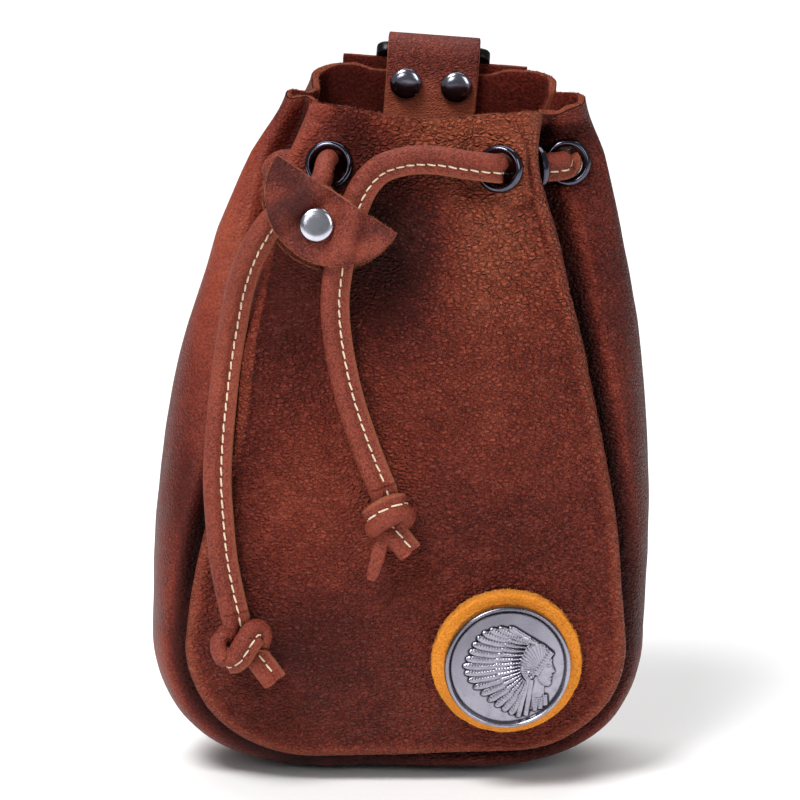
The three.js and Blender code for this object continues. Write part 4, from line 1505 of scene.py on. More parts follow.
    def tucks(self, facing: Facing) -> Array:
        """The tucked strip behind a panel's fold.

        Args:
            facing: The panel.

        Returns:
            Its width at each station, less where the wider fold takes its depth.
        """
        turn = np.radians(self.st.level["turn"])
        wider = self.fold_radii(facing) - self.fold_radius
        tuck = self.st.level["tuck"].copy()
        if facing is Facing.FRONT:
            high = smoothstep(self.st.fold[:, 2], self.rim_tuck_from, TOP)
            tuck -= self.rim_tuck * high * (self.st.out()[:, 0] > 0)
        return tuck - np.where(wider > 0, wider * (1 - np.cos(turn)) / np.maximum(np.sin(turn), 0.2), 0)

    def panel_lines(self, facing: Facing) -> Array:
        """Lines from a panel's tucked edge, round its fold and across its face to its middle.

        Args:
            facing: The panel.

        Returns:
            Points by station and column.
        """
        turn, tuck = np.radians(self.st.level["turn"]), self.tucks(facing)
        lines = [self.fold_points(facing, turn, tuck * s) for s in np.linspace(1, 0, self.tuck_steps, False)]
        lines += [self.fold_points(facing, turn * s) for s in np.linspace(1, 0, self.roll_steps + 1)]
        edge = lines[-1]
        share = np.abs(np.linspace(-1, 1, len(edge))) ** self.spine_power
        mid = LEVELS.at(self.spine_low + (TOP - self.spine_low) * share)
        face = mid[facing.name.lower()]
        spine = np.stack([(mid["left"] + mid["right"]) / 2, face, mid["z"]], axis=1)
        bulge = facing.value * mid["crown"] * (self.back_crown if facing is Facing.BACK else 1)
        for s in np.linspace(0, 1, self.face_steps + 1)[1:]:
            points = edge + (spine - edge) * s
            eased = (hypot(s, 0.06) - 0.06) / (hypot(1, 0.06) - 0.06)
            points[:, 1] += bulge * (1 - (1 - eased) ** 2)
            if facing is Facing.FRONT:
                for *patch, deep in self.hollows:
                    points[:, 1] += deep * spot(points[:, 0], points[:, 2], *patch)
                x, z, slope, near, far = self.pull
                away = np.hypot(points[:, 0] - x, points[:, 2] - z)
                points[:, 1] -= slope * (points[:, 0] - x) * (1 - smoothstep(away, near, far))
            lines.append(points)
        return self.settle(np.stack(lines, axis=1))

    def panel_sheet(self, facing: Facing) -> Surface:
        """A panel's grain side, with its wear and painted light and shade.

        Args:
            facing: The panel.

        Returns:
            The sheet, facing outward.
        """
        lines = self.panel_lines(facing)
        half = (len(lines) + 1) // 2
        grid = bridged(lines[:half], lines[::-1][:half])
        faces = grid_faces(*grid.shape[:2])
        sheet = Surface(grid.reshape(-1, 3), faces if facing is Facing.FRONT else flipped(faces))
        sheet = self.worn_and_shaded(sheet, grid.shape[:2])
        if facing is Facing.FRONT:
            sheet = self.toned_and_lit(sheet, self.tones)
            x, _, z = sheet.points.T
            sheet.values["smooth"] = 0.75 * smoothstep(-x, *self.smooth_x) * smoothstep(z, *self.smooth_z)
        return sheet.welded(1e-3)

    def worn_and_shaded(self, sheet: Surface, shape: tuple[int, int]) -> Surface:
        """Works out where a sheet's ridges are rubbed light, and paints shade into its hollows.

        Args:
            sheet: A sheet of points in a grid.
            shape: The grid's rows and columns.

        Returns:
            The sheet with its wear value: ridges rubbed light, hollows in painted shade.
        """
        grid = sheet.points.reshape(*shape, 3)
        reach = 2
        wide = np.pad(grid, ((reach, reach), (reach, reach), (0, 0)), mode="edge")
        mean = sum(wide[reach + a:reach + a + shape[0], reach + b:reach + b + shape[1]]
                   for a, b in ((reach, 0), (-reach, 0), (0, reach), (0, -reach))) / 4
        rise = np.einsum("ij,ij->i", (grid - mean).reshape(-1, 3), sheet.normals())
        # Ridges rubbed lighter are wear; the darker hollows are painted shade.
        sheet.values["wear"] = np.clip(rise * 1.2, -0.6, 0.35)
        return sheet

    def gusset_sheet(self) -> Surface:
        """The gusset's grain side.

        Returns:
            The sheet, facing outward.
        """
        st = self.st
        middle = (st.level["front"] + st.level["back"]) / 2
        full = self.gusset_bulge * (1 - smoothstep(st.fold[:, 2], *self.bulge_fades))
        halves, shades = [], []
        for facing in Facing:
            seam = self.fold_points(facing, np.radians(st.level["turn"]), self.tucks(facing))
            seam[:, 1] -= facing.value * self.gap
            reach = np.linalg.norm((st.outer - seam)[:, [0, 2]], axis=1)
            depth = np.abs(seam[:, 1] - middle)
            leave = seam + st.out() * (reach * self.gusset_reach)[:, None]
            arrive, end = st.outer.copy(), st.outer.copy()
            arrive[:, 1] = middle + facing.value * (depth * self.gusset_full + 0.8)
            end[:, 1] = middle
            t = np.linspace(0, 1, self.gusset_steps + 1)[None, :, None]
            half = (seam[:, None] * (1 - t) ** 3 + 3 * leave[:, None] * t * (1 - t) ** 2
                    + 3 * arrive[:, None] * t ** 2 * (1 - t) + end[:, None] * t ** 3)
            round_over = np.sin(np.clip(t[0, :, 0] / 0.85, 0, 1) * pi)
            half[..., 1] += facing.value * full[:, None] * round_over
            outward = np.einsum("ijk,ik->ij", half - st.fold[:, None], st.out() * [1, 0, 1])
            sunk = 1 - smoothstep(outward, 0.0, self.valley_width)
            half[..., 1] -= facing.value * self.valley * sunk * smoothstep(t[..., 0], 0.0, 0.12)
            halves.append(half)
            shades.append(sunk)
        grid, shade = self.settle(bridged(*halves)), bridged(*shades).ravel()
        sheet = self.worn_and_shaded(Surface(grid.reshape(-1, 3), flipped(grid_faces(*grid.shape[:2]))), grid.shape[:2])
        x, _, z = sheet.points.T
        sheet.values["smooth"] = 0.55 + 0.33 * smoothstep(-x, 0, 20)
        # Painted shade: the gusset is darkened overall, much more in the valley beside the panels' folds,
        # less of that higher up, and more towards the bottom.
        shade *= 1 - 0.8 * smoothstep(z, *self.shade_fades)
        sheet.values["wear"] -= 0.36 + 0.6 * shade + 0.5 * (1 - smoothstep(z, 1, 12))
        return self.toned_and_lit(sheet, self.gusset_light_and_shade)

    def toned_and_lit(self, sheet: Surface, tones: Table) -> Surface:
        """Lightens or darkens soft patches of a sheet: its own tone, and painted light and shade.

        Args:
            sheet: The sheet, with its wear value.
            tones: The patches' X, Z, half width, half height and amount.

        Returns:
            The same sheet.
        """
        x, _, z = sheet.points.T
        for *patch, amount in tones:
            sheet.values["wear"] += amount * spot(x, z, *patch)
        return sheet

    def relief(self, sheet: Surface, seed: float, wrinkles: bool) -> Surface:
        """Adds soft dents and drawn wrinkles to a sheet.

        Args:
            sheet: The grain side.
            seed: Moves the dents.
            wrinkles: Whether wrinkles run across below the rim.

        Returns:
            The sheet, moved along its normals.
        """
        p = sheet.points
        rise = sum(deep * lumps(p, size, seed + shift) for deep, size, shift in self.dents)
        if wrinkles:
            drawn = p * [0.4, 0.4, 1.0] + np.outer(p[:, 0], [0, 0, 0.22])
            ridge = 1 - np.abs(lumps(drawn, self.wrinkle_size, seed + 11)) * 2
            where = sum(share * spot(p[:, 0], p[:, 2], *patch) for *patch, share in self.wrinkled)
            rise += self.wrinkle_depth * where * ridge
        rise *= smoothstep(p[:, 2], 0.5, 12)
        sheet.points = p + sheet.normals(4) * rise[:, None]
        return sheet

    def pierced(self, sheet: Surface, names: Sequence[str]) -> Surface:
        """Cuts round holes where eyelets sit.

        Args:
            sheet: The grain side.
            names: The eyelets' nodes.

        Returns:
            The sheet with its holes.
        """
        points, faces = sheet.points.copy(), sheet.faces
        for name in names:
            seat = eyelet_seat(name)
            offset = points - seat.origin
            height = offset @ seat.axis
            flat = offset - height[:, None] * seat.axis
            away = np.linalg.norm(flat, axis=1)
            near = np.abs(height) < self.hole_depth
            gone = (near & (away < self.hole))[faces].any(axis=1)
            edge = np.intersect1d(np.unique(faces[gone]), np.unique(faces[~gone]))
            edge = edge[near[edge]]
            points[edge] += flat[edge] * (self.hole / away[edge] - 1)[:, None]
            faces = faces[~gone]
        used, index = np.unique(faces, return_inverse=True)
        values = {k: v[used] for k, v in sheet.values.items()}
        return Surface(points[used], index.reshape(faces.shape), values)

    def build(self) -> dict[Facing, Surface]:
        """Builds the three walls.

        Returns:
            The panels' grain sides, for what sits on them.
        """
        sheets = {}
        for facing, seed in ((Facing.FRONT, 2.0), (Facing.BACK, 31.0)):
            sheets[facing] = self.relief(self.panel_sheet(facing), seed, facing is Facing.FRONT)
        gusset = self.relief(self.gusset_sheet(), 57.0, False)
        for name, sheet, rows in (("front_panel", sheets[Facing.FRONT], ("front", "tuck")),
                                  ("back_panel", sheets[Facing.BACK], ("rear",)),
                                  ("gusset", gusset, ("fin_front", "fin_rear"))):
            eyelets = [f"eyelet_{row}_{side.value}" for row in rows for side in Side]
            wall = leather_wall(self.pierced(sheet, eyelets), self.leather, self.rim)
            dress(wall, name + "_leather", Look.LEATHER, name)
        return sheets


# The back: belt loop, hanger strap and ring


@dataclass
class Hanger:
    """The belt loop, the strap over the back rim, and the ring in the strap's fold."""

    back: BVHTree
    leather: float = 2.0
    gap: float = 0.3
    rim_least: float = 160.5
    loop_x: float = 7.9
    loop_width: float = 43.6
    loop_top: float = 167.2
    loop_top_zone: float = 9.5
    loop_bottom: float = 88.0
    loop_bottom_zone: float = 10.0
    loop_bow: float = 7.4
    seam_rows: Row = (3.0, 8.0)
    seam_inset: float = 3.0
    thread: CordSection = CordSection()
    strap_x: float = 7.3
    strap_width: float = 21.4
    strap_fold: float = 168.6
    strap_front_end: float = 152.6
    strap_back_end: float = 157.0
    strap_outer: float = 0.5
    strap_inner: float = 1.15
    strap_painted_light: float = 1.0
    strap_light_fades: Flat = (155, 168)
    lean: float = 4.3
    lean_z: float = 161.2
    ring_inside: float = 21.8
    ring_length: float = 11.0
    ring_bar: float = 2.7
    ring_corner: float = 1.2
    ring_hang: float = 52.0
    ring_seat: Flat = (0.6, 1.0)

    def leaned(self, points: Array) -> Array:
        """Leans points to the right about the strap's rivets.

        Args:
            points: The upright points.

        Returns:
            The leaning points.
        """
        turn = radians(self.lean)
        x, z = points[..., 0] - self.strap_x, points[..., 2] - self.lean_z
        return np.stack([self.strap_x + x * cos(turn) + z * sin(turn), points[..., 1],
                         self.lean_z - x * sin(turn) + z * cos(turn)], axis=-1)

    def back_y(self, z: float) -> float:
        """Feels for the back panel across the loop's width.

        Args:
            z: The height, taken below the panel's rim.

        Returns:
            The panel's outermost Y.
        """
        across = self.loop_x + self.loop_width * np.linspace(-0.5, 0.5, 5)
        z = min(z, self.rim_least)
        hits = [self.back.ray_cast(Vector((x, 90, z)), Vector((0, -1, 0)))[0] for x in across]
        return max(hit.y for hit in hits if hit)

    def strip(self, path: Array, x: float, width: float, columns: int = 26) -> Surface:
        """A leather strip's grain side.

        Args:
            path: Its way as pairs of Y and Z.
            x: Its middle.
            width: Its width.
            columns: Its steps across.

        Returns:
            The sheet.
        """
        grid = np.empty((len(path), columns + 1, 3))
        grid[..., 0] = x + width * np.linspace(-0.5, 0.5, columns + 1)
        grid[..., 1:] = path[:, None]
        grid[..., 0] += 0.12 * lumps(grid.reshape(-1, 3) * [0.02, 1, 1], 7, 71.0).reshape(grid.shape[:2])
        return Surface(self.leaned(grid).reshape(-1, 3), flipped(grid_faces(*grid.shape[:2])))

    def belt_loop(self) -> None:
        """Builds the loop, sewn flat at its ends and bowed between them."""
        high = self.loop_top - self.loop_top_zone
        low = self.loop_bottom + self.loop_bottom_zone
        path = []
        for z in np.linspace(self.loop_top, self.loop_bottom, 90):
            inside = np.clip((high - z) / (high - low), 0, 1)
            bow = self.loop_bow * min(1.0, 1.35 * sin(inside * pi))
            path.append((self.back_y(z) + self.gap + self.leather + bow, z))
        line = np.array(path)
        for _ in range(12):
            line[1:-1, 0] = (line[:-2, 0] + 2 * line[1:-1, 0] + line[2:, 0]) / 4
        sheet = self.strip(line, self.loop_x, self.loop_width, 48)
        sheet.values["wear"] = np.zeros(len(sheet.points))
        dress(leather_wall(sheet, self.leather), "belt_loop_leather", Look.LEATHER, "belt_loop")
        dress(self.seams(line), "belt_loop_stitches", Look.THREAD)

    def seams(self, line: Array) -> Surface:
        """Rows of stitches that sew the loop's lower end to the back panel.

        Args:
            line: The loop's grain side as pairs of Y and Z, from its top down.

        Returns:
            The stitches as one surface.
        """
        along = np.linspace(0, 1, 7)
        rise = np.sin((0.12 + 0.76 * along) * pi) ** 0.5
        reach = self.loop_width / 2 - self.seam_inset
        pieces = []
        for up in self.seam_rows:
            z = self.loop_bottom + up
            y = np.interp(z, line[::-1, 1], line[::-1, 0])
            for start in np.arange(-reach, reach - self.thread.stitch_length, self.thread.stitch_pitch):
                x = self.loop_x + start + along * self.thread.stitch_length
                spots = self.leaned(np.stack([x, y + 0.22 * rise, np.full(7, z)], axis=1))
                pieces.append(self.thread.stitch(spots, np.tile([0.0, 0.0, 1.0], (7, 1)), rise))
        return joined(pieces)

    def strap_path(self) -> tuple[Array, float]:
        """The strap's way down inside the back wall, over the ring's bar and down outside the loop's top.

        Returns:
            Pairs of Y and Z, and the Y of the fold's middle.
        """
        near = self.back_y(self.strap_fold) - 2 * self.leather - self.strap_inner
        far = self.back_y(self.strap_fold) + 2 * self.leather + 2 * self.strap_outer
        radius = (far - near) / 2
        inner = [(self.back_y(z) - 2 * self.leather - self.strap_inner, z)
                 for z in np.linspace(self.strap_front_end, self.strap_fold, 16, endpoint=False)]
        bend = [(near + radius + radius * cos(a), self.strap_fold + radius * sin(a))
                for a in np.linspace(pi, 0, 28)]
        outer = [(self.back_y(z) + 2 * self.leather + 2 * self.strap_outer, z)
                 for z in np.linspace(self.strap_fold, self.strap_back_end, 12)[1:]]
        return np.array(inner + bend + outer), near + radius

    def strap(self) -> float:
        """Builds the strap.

        Returns:
            The Y of its fold's middle.
        """
        path, middle = self.strap_path()
        sheet = self.strip(path, self.strap_x, self.strap_width)
        _, y, z = sheet.points.T
        # Painted light: the inner leg is lightened below the fold, fading out upwards; the whole strap is a
        # little darker.
        sheet.values["wear"] = -0.2 + self.strap_painted_light * (y < middle) * (1 - smoothstep(z, *self.strap_light_fades))
        dress(leather_wall(sheet, self.leather), "hanger_strap_leather", Look.STRAP, "hanger_strap")
        return middle

    def ring(self, middle: float) -> None:
        """Builds the rectangular ring in the strap's fold.

        Args:
            middle: The Y of the fold's middle.
        """
        r = self.ring_corner
        right, top = (self.ring_inside + self.ring_bar) / 2 - r, self.ring_length + self.ring_bar - r
        spots = []
        for x, y, start in ((right, top, 0), (-right, top, 90), (-right, r, 180), (right, r, 270)):
            for a in np.radians(start + np.linspace(0, 90, 12)):
                spots.append((x + r * cos(a), y + r * sin(a)))
        closed = np.array([*spots, spots[0]])
        length = travelled(closed)
        flat = read_at(np.linspace(0, length[-1], 160, endpoint=False), length, closed)
        square = oval(20, 0.4) * self.ring_bar / 2
        ahead = np.roll(flat, -1, axis=0) - np.roll(flat, 1, axis=0)
        outward = unit(np.stack([ahead[:, 1], -ahead[:, 0]], axis=1))
        grid = np.empty((len(flat), len(square), 3))
        grid[..., :2] = flat[:, None] + outward[:, None] * square[None, :, :1]
        grid[..., 2] = square[:, 1]
        turn = radians(self.ring_hang - 90)
        y, z = grid[..., 1].copy(), grid[..., 2].copy()
        grid[..., 0] += self.strap_x
        grid[..., 1] = middle + self.ring_seat[0] + y * cos(turn) - z * sin(turn)
        grid[..., 2] = self.strap_fold + self.ring_seat[1] + y * sin(turn) + z * cos(turn)
        rows = np.concatenate([grid, grid[:1]])
        surface = Surface(self.leaned(rows).reshape(-1, 3), grid_faces(len(rows), len(square), wrap=True))
        surface = surface.welded().facing_out()
        dress(surface, "hanger_ring_bar", Look.BLACK, "hanger_ring", body=Body.RING)

    def build(self) -> None:
        """Builds the loop, the strap and the ring."""
        self.belt_loop()
        self.ring(self.strap())


# The toggle


@dataclass
class Toggle:
    """Two half discs of leather closed round both cords by a snap."""

    at: Point = (-19.4, -26.7, 136.9)
    radius: float = 16.5
    slant: float = 33.4
    lean: float = 11.0
    snap_at: float = 8.3
    pinch: float = 0.9
    full: float = 3.25
    hump: float = 3.3
    leather: float = 2.0
    cords: Line = ((4.6, 10.3), (-4.9, -10.4))
    under: float = 1.2

    def axes(self) -> Array:
        """The toggle's axes.

        Returns:
            Columns: along the straight edge, towards the round edge, and outward.
        """
        s, t = radians(self.slant), radians(-self.lean)
        flat = np.array([[-cos(s), -sin(s), 0], [0, 0, -1], [sin(s), -cos(s), 0]])
        tip = np.array([[1, 0, 0], [0, cos(t), -sin(t)], [0, sin(t), cos(t)]])
        return tip @ flat

    def height(self, a: Array, b: Array) -> Array:
        """How far each half's flesh side stands off the middle plane."""
        away = np.min([np.abs(a - (c + (d - c) * b / self.radius)) for c, d in self.cords], axis=0)
        return self.pinch + (self.full - self.pinch) * np.exp(-((away / self.hump) ** 4))

    def wall(self, facing: Facing) -> Surface:
        """One half's wall.

        Args:
            facing: The half.

        Returns:
            The wall, in place.
        """
        side, rings, spokes = -facing.value, 30, 96
        _, a, b = polar(self.radius, rings, np.linspace(0, pi, spokes + 1))
        flat = np.stack([a, b, 0 * a], axis=-1).reshape(-1, 3)
        rag = 1 + 0.010 * lumps(flat, 5, 7.0 + side).reshape(a.shape)
        shown = self.under if facing is Facing.BACK else 0.0
        up = side * (self.height(a, b) + self.leather)
        local = np.stack([a * rag, b * rag - self.snap_at + shown, up], axis=-1)
        points = local.reshape(-1, 3) @ self.axes().T + self.at
        faces = grid_faces(rings + 1, spokes + 1)
        sheet = Surface(points, faces if facing is Facing.FRONT else flipped(faces)).welded()
        # Painted shade: each half darkens along its straight edge towards the upper left, the side turned
        # from the light; the lumps are its own uneven tone.
        dark = smoothstep((sheet.points - self.at) @ self.axes()[:, 0], -7, 9)
        sheet.values["wear"] = 0.5 * lumps(sheet.points, 5, 3.0) - 0.05 - 0.5 * dark
        return leather_wall(sheet, self.leather, CutEdge(0.25, 0.25, fibres=6.0))

    def build(self) -> None:
        """Builds both halves."""
        for facing in Facing:
            node = f"toggle_{facing.name.lower()}"
            dress(self.wall(facing), node + "_leather", Look.STRAP, node)


# The concho


@dataclass(frozen=True)
class CoinPicture:
    """A feather bonnet and a plain head in relief.

    Places are shares of the coin's radius, with X right and Y up, and heights are millimetres.
    """

    feathers: int = 17
    feather_roots: Line = (
        (0.60, 0.31), (0.47, 0.40), (0.36, 0.40), (0.29, 0.33), (0.25, 0.25), (0.22, 0.17), (0.20, 0.09),
        (0.19, 0.02), (0.19, -0.05), (0.20, -0.11), (0.22, -0.16), (0.25, -0.20), (0.28, -0.22),
    )
    feather_tips: Line = (
        (0.02, 0.66), (-0.20, 0.65), (-0.37, 0.61), (-0.49, 0.50), (-0.58, 0.36), (-0.65, 0.20),
        (-0.71, 0.04), (-0.67, -0.12), (-0.58, -0.28), (-0.42, -0.43), (-0.27, -0.58), (-0.11, -0.70),
        (0.05, -0.78),
    )
    head: Line = (
        (0.60, 0.24), (0.68, 0.20), (0.705, 0.11), (0.70, 0.06), (0.725, -0.01), (0.755, -0.08),
        (0.745, -0.105), (0.705, -0.115), (0.715, -0.15), (0.70, -0.17), (0.708, -0.20), (0.685, -0.23),
        (0.695, -0.28), (0.66, -0.33), (0.57, -0.32), (0.49, -0.25), (0.44, -0.14), (0.42, 0.02),
        (0.47, 0.17),
    )
    features: Table = (
        (0.655, 0.075, 0.04, 0.016, 0.07), (0.645, 0.03, 0.035, 0.022, -0.13),
        (0.645, 0.028, 0.024, 0.009, 0.1), (0.60, -0.06, 0.06, 0.06, 0.06),
        (0.69, -0.172, 0.03, 0.008, -0.12),
    )
    neck: Line = (
        (0.44, -0.10), (0.58, -0.30), (0.57, -0.42), (0.62, -0.56), (0.50, -0.66), (0.36, -0.70),
        (0.31, -0.40),
    )
    crown: Line = (
        (0.68, 0.26), (0.58, 0.36), (0.44, 0.43), (0.30, 0.36), (0.20, 0.14), (0.19, -0.06), (0.27, -0.20),
        (0.42, -0.12),
    )
    band: tuple[Flat, Flat] = ((0.685, 0.255), (0.425, -0.115))
    rosette: Flat = (0.345, -0.115)
    drops: tuple[tuple[Flat, Flat], ...] = (
        ((0.32, -0.18), (0.17, -0.82)), ((0.37, -0.20), (0.29, -0.80)),
        ((0.45, -0.50), (0.43, -0.72)), ((0.52, -0.50), (0.52, -0.69)), ((0.59, -0.46), (0.60, -0.64)),
    )

    @staticmethod
    def along(at: Spots, start: Flat, end: Flat) -> tuple[Array, Array, float]:
        """Reads points against a line.

        Args:
            at: The points' X and Y.
            start: The line's start.
            end: The line's end.

        Returns:
            The share along the line, the distance to its left, and its length.
        """
        run = np.subtract(end, start)
        length = float(np.linalg.norm(run))
        u = run / length
        dx, dy = at[0] - start[0], at[1] - start[1]
        return (dx * u[0] + dy * u[1]) / length, dy * u[0] - dx * u[1], length

    @staticmethod
    def inside(at: Spots, outline: Sequence[Flat]) -> Array:
        """Reads points against a closed outline.

        Args:
            at: The points' X and Y.
            outline: Its corners.

        Returns:
            Distances inside it, and 0 outside.
        """
        x, y = at
        corners = np.array(outline)
        odd = np.zeros(len(x), bool)
        nearest = np.full(len(x), 9.0)
        for (ax, ay), (bx, by) in zip(corners, np.roll(corners, -1, axis=0)):
            run = np.array([bx - ax, by - ay])
            share = np.clip(((x - ax) * run[0] + (y - ay) * run[1]) / (run @ run), 0, 1)
            nearest = np.minimum(nearest, np.hypot(x - ax - share * run[0], y - ay - share * run[1]))
            crosses = (ay > y) != (by > y)
            rise = by - ay if by != ay else 1.0
            odd ^= crosses & (x < (bx - ax) * (y - ay) / rise + ax)
        return np.where(odd, nearest, 0.0)

    def strip(self, at: Spots, line: tuple[Flat, Flat], half: float, high: float, ribs: float) -> Array:
        """A raised strip with cross ribs.

        Args:
            at: Places to the right of the coin's middle and above it.
            line: The strip's ends.
            half: Half its width.
            high: Its height.
            ribs: How many ribs it has.

        Returns:
            Heights in millimetres.
        """
        t, s, _ = self.along(at, *line)
        shape = np.sqrt(np.clip(1 - (s / half) ** 2, 0, 1)) * ((t > 0) & (t < 1))
        notch = 0.5 + 0.5 * np.cos(2 * pi * ribs * t)
        return np.where(shape > 0, high * (0.55 + 0.3 * shape + 0.15 * notch * shape), 0)

    def feather(self, at: Spots, root: Flat, tip: Flat, half: float, high: float) -> Array:
        """One feather with its quill and barbs, one side of it lying under its neighbour.

        Args:
            at: Places to the right of the coin's middle and above it.
            root: The feather's start.
            tip: Its end.
            half: Half its width.
            high: Its height.

        Returns:
            Heights in millimetres.
        """
        t, s, length = self.along(at, root, tip)
        s = s - 0.10 * length * t * (1 - t)
        blunt = np.sqrt(np.clip(1 - (np.clip(t - 0.84, 0, None) / 0.16) ** 2, 0, 1))
        wide = half * (0.42 + 0.58 * smoothstep(t, 0.0, 0.6)) * blunt + 1e-6
        across = s / wide
        shape = np.sqrt(np.clip(1 - across ** 2, 0, 1)) * ((t > 0) & (t < 1))
        quill = np.exp(-((s / 0.009) ** 2)) * (t < 0.93)
        barbs = np.sin(2 * pi * (22 * t * length + 9 * np.abs(s)))
        rise = 0.45 + 0.4 * shape + 0.22 * quill + 0.16 * across + 0.05 * barbs
        return np.where(shape > 0, high * rise, 0)

    def face(self, at: Spots) -> Array:
        """A plain head in profile, with a closed mouth and a lowered lid.

        Args:
            at: Places to the right of the coin's middle and above it.

        Returns:
            Heights in millimetres.
        """
        depth = self.inside(at, self.head)
        high = 0.62 * np.sqrt(np.clip(1 - (1 - np.clip(depth / 0.15, 0, 1)) ** 2, 0, 1))
        return np.where(depth > 0, high + sum(rise * spot(*at, *patch) for *patch, rise in self.features), 0)

    def height(self, at: Spots) -> Array:
        """The relief's height over the coin's field.

        Args:
            at: Places to the right of the coin's middle and above it.

        Returns:
            Heights in millimetres.
        """
        x, y = at
        spots = np.linspace(0, len(self.feather_roots) - 1, self.feathers)
        roots, tips = (read_at(spots, np.arange(len(line)), np.array(line))
                       for line in (self.feather_roots, self.feather_tips))
        crown, neck = self.inside(at, self.crown), self.inside(at, self.neck)
        rays = np.sin(46 * np.arctan2(y + 0.06, x - 0.56))
        away = np.hypot(x - self.rosette[0], y - self.rosette[1])
        layers = [
            *(self.feather(at, *ends, 0.056, 0.55) for ends in zip(roots, tips)),
            *(self.feather(at, *ends, 0.04, 0.72) for ends in zip(roots, roots + 0.46 * (tips - roots))),
            np.where(crown > 0, 0.5 + 0.2 * smoothstep(crown, 0, 0.06) + 0.05 * rays, 0),
            np.where(neck > 0, 0.16 + 0.26 * smoothstep(neck, 0, 0.09), 0),
            self.face(at),
            *(self.strip(at, line, 0.038, 0.6, 5) for line in self.drops),
            self.strip(at, self.band, 0.06, 0.86, 9),
            np.where(away < 0.078, 0.78 + 0.12 * np.cos(away * 130), 0),
        ]
        return np.max(layers, axis=0)


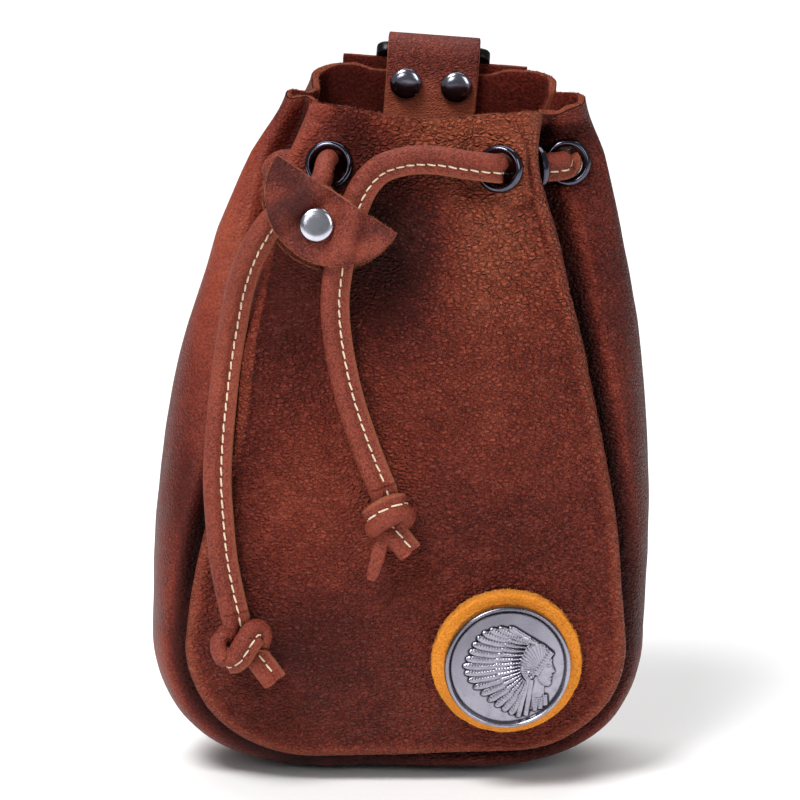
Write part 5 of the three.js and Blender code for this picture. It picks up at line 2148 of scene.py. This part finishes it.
@dataclass
class Concho:
    """An orange leather disc on the front panel, and a stamped coin on it."""

    front: BVHTree
    x: float = 25.1
    z: float = 31.4
    disc: float = 17.6
    disc_thick: float = 2.6
    coin: float = 15.0
    coin_thick: float = 2.6
    field_height: float = 1.75
    swell: float = 0.5
    bead_at: float = 0.958
    bead_half: float = 0.042
    lift: float = 5.0
    gap: float = 0.3
    picture: CoinPicture = CoinPicture()

    def seat(self) -> tuple[Array, Array]:
        """The underside of the frame's coin.

        Returns:
            Its middle, and its axes in columns: right, up and outward.
        """
        points = node_points("concho")
        middle = (points.min(axis=0) + points.max(axis=0)) / 2
        out = np.linalg.eigh(np.cov((points - points.mean(axis=0)).T))[1][:, 0]
        out = out if out[1] < 0 else -out
        right = unit(np.cross([0.0, 0.0, 1.0], out))
        base = middle + out * ((points - middle) @ out).min()
        turn = radians(self.lift)
        out = unit(out * cos(turn) + np.cross(out, right) * sin(turn))
        return base, np.stack([right, np.cross(out, right), out], axis=1)

    def disc_piece(self, base: Array, axes: Array) -> None:
        """Builds the leather disc along the front panel, flat under the coin.

        Args:
            base: The middle of the coin's underside.
            axes: The coin's axes.
        """
        rings, spokes = 26, 150
        r, a, b = polar(self.disc, rings, turns(spokes))
        flat = np.stack([a, b, 0 * r], axis=-1).reshape(-1, 3)
        rag = 1 + 0.010 * lumps(flat, 4, 17.0) + 0.006 * lumps(flat, 1.3, 23.0)
        x = self.x + flat[:, 0] * rag
        z = self.z + flat[:, 1] * rag
        hits = [self.front.ray_cast(Vector((a, -90, b)), Vector((0, 1, 0)))[0] for a, b in zip(x, z)]
        on_panel = np.array([hit.y for hit in hits]) - self.gap - self.disc_thick
        out = axes[:, 2]
        under = base[1] - ((x - base[0]) * out[0] + (z - base[2]) * out[2]) / out[1] + 0.15
        y = under + (on_panel - under) * smoothstep(r.ravel(), self.coin - 0.6, self.disc - 0.4)
        sheet = Surface(np.stack([x, y, z], axis=1), grid_faces(rings + 1, spokes, wrap=True)).welded()
        if sheet.normals()[:, 1].mean() > 0:
            sheet.faces = flipped(sheet.faces)
        wall = leather_wall(sheet, self.disc_thick, CutEdge(0.35, 0.35, fibres=7.0))
        dress(wall, "concho_disc_leather", Look.ORANGE, "concho_disc")

    def rim_height(self, share: Array) -> Array:
        """The coin without its picture.

        Args:
            share: Shares of its radius.

        Returns:
            Heights in millimetres.
        """
        low = self.field_height - 0.1
        groove = np.exp(-(((share - 0.90) / 0.012) ** 2))
        dish = self.field_height + self.swell * (0.8 - share ** 2) - 0.12 * groove
        bead = np.sqrt(np.clip(1 - ((share - self.bead_at) / self.bead_half) ** 2, 0, 1))
        return np.where(share > 0.918, low + (self.coin_thick - low) * bead, dish)

    def coin_piece(self, base: Array, axes: Array) -> None:
        """Builds the coin with its picture.

        Args:
            base: The middle of the coin's underside.
            axes: The coin's axes.
        """
        rings, spokes = 128, 480
        share, x, y = polar(1, rings, turns(spokes))
        lift = self.picture.height((x.ravel(), y.ravel())).reshape(share.shape)
        soft = lift
        for _ in range(12):
            rows = np.concatenate([soft[:1], soft, soft[-1:]])
            soft = (rows[:-2] + rows[2:] + np.roll(soft, 1, axis=1) + np.roll(soft, -1, axis=1)) / 4
        tarnish = np.clip((soft - lift) * 10.0 - 0.05, 0, 1)
        groove = np.exp(-(((share - 0.905) / 0.014) ** 2))
        height = self.rim_height(share) + lift * (share < 0.9)
        top = np.stack([x * self.coin, y * self.coin, height], axis=-1).reshape(-1, 3)
        ring = top[-spokes:]
        side = [ring * [1, 1, 0] + [0, 0, h] for h in (self.coin_thick * 0.5, 0.25)]
        bottom = [ring * [0.985, 0.985, 0], np.zeros((spokes, 3))]
        local = np.concatenate([top, *side, *bottom])
        recess = np.zeros(len(local))
        # Painted shade: the field darkens towards its top left in place of a reflection across a domed field;
        # small lumps mottle it.
        field_shade_and_mottle = 0.5 * smoothstep(y - 0.4 * x, -0.6, 0.9) + 0.1 * lumps(top, 4.0, 2.0).reshape(share.shape)
        recess[:len(top)] = np.clip(np.maximum(tarnish, 0.95 * groove) + field_shade_and_mottle * (lift < 0.1), 0, 1).ravel()
        faces = grid_faces(rings + 5, spokes, wrap=True)
        coin = Surface(base + local @ axes.T, faces, {"recess": recess}).welded().facing_out()
        dress(coin, "concho_coin", Look.PEWTER, "concho")

    def build(self) -> None:
        """Builds the disc and the coin."""
        base, axes = self.seat()
        self.disc_piece(base, axes)
        self.coin_piece(base, axes)


# Building


def main() -> None:
    """Builds the studio and every piece in order."""
    logging.basicConfig(level=logging.INFO, format="%(message)s")
    Studio().build()
    Cords().build()
    sheets = PouchBody().build()
    Hanger(sheets[Facing.BACK].tree()).build()
    Hardware().build()
    Toggle().build()
    Concho(sheets[Facing.FRONT].tree()).build()


if __name__ == "__main__":
    main()
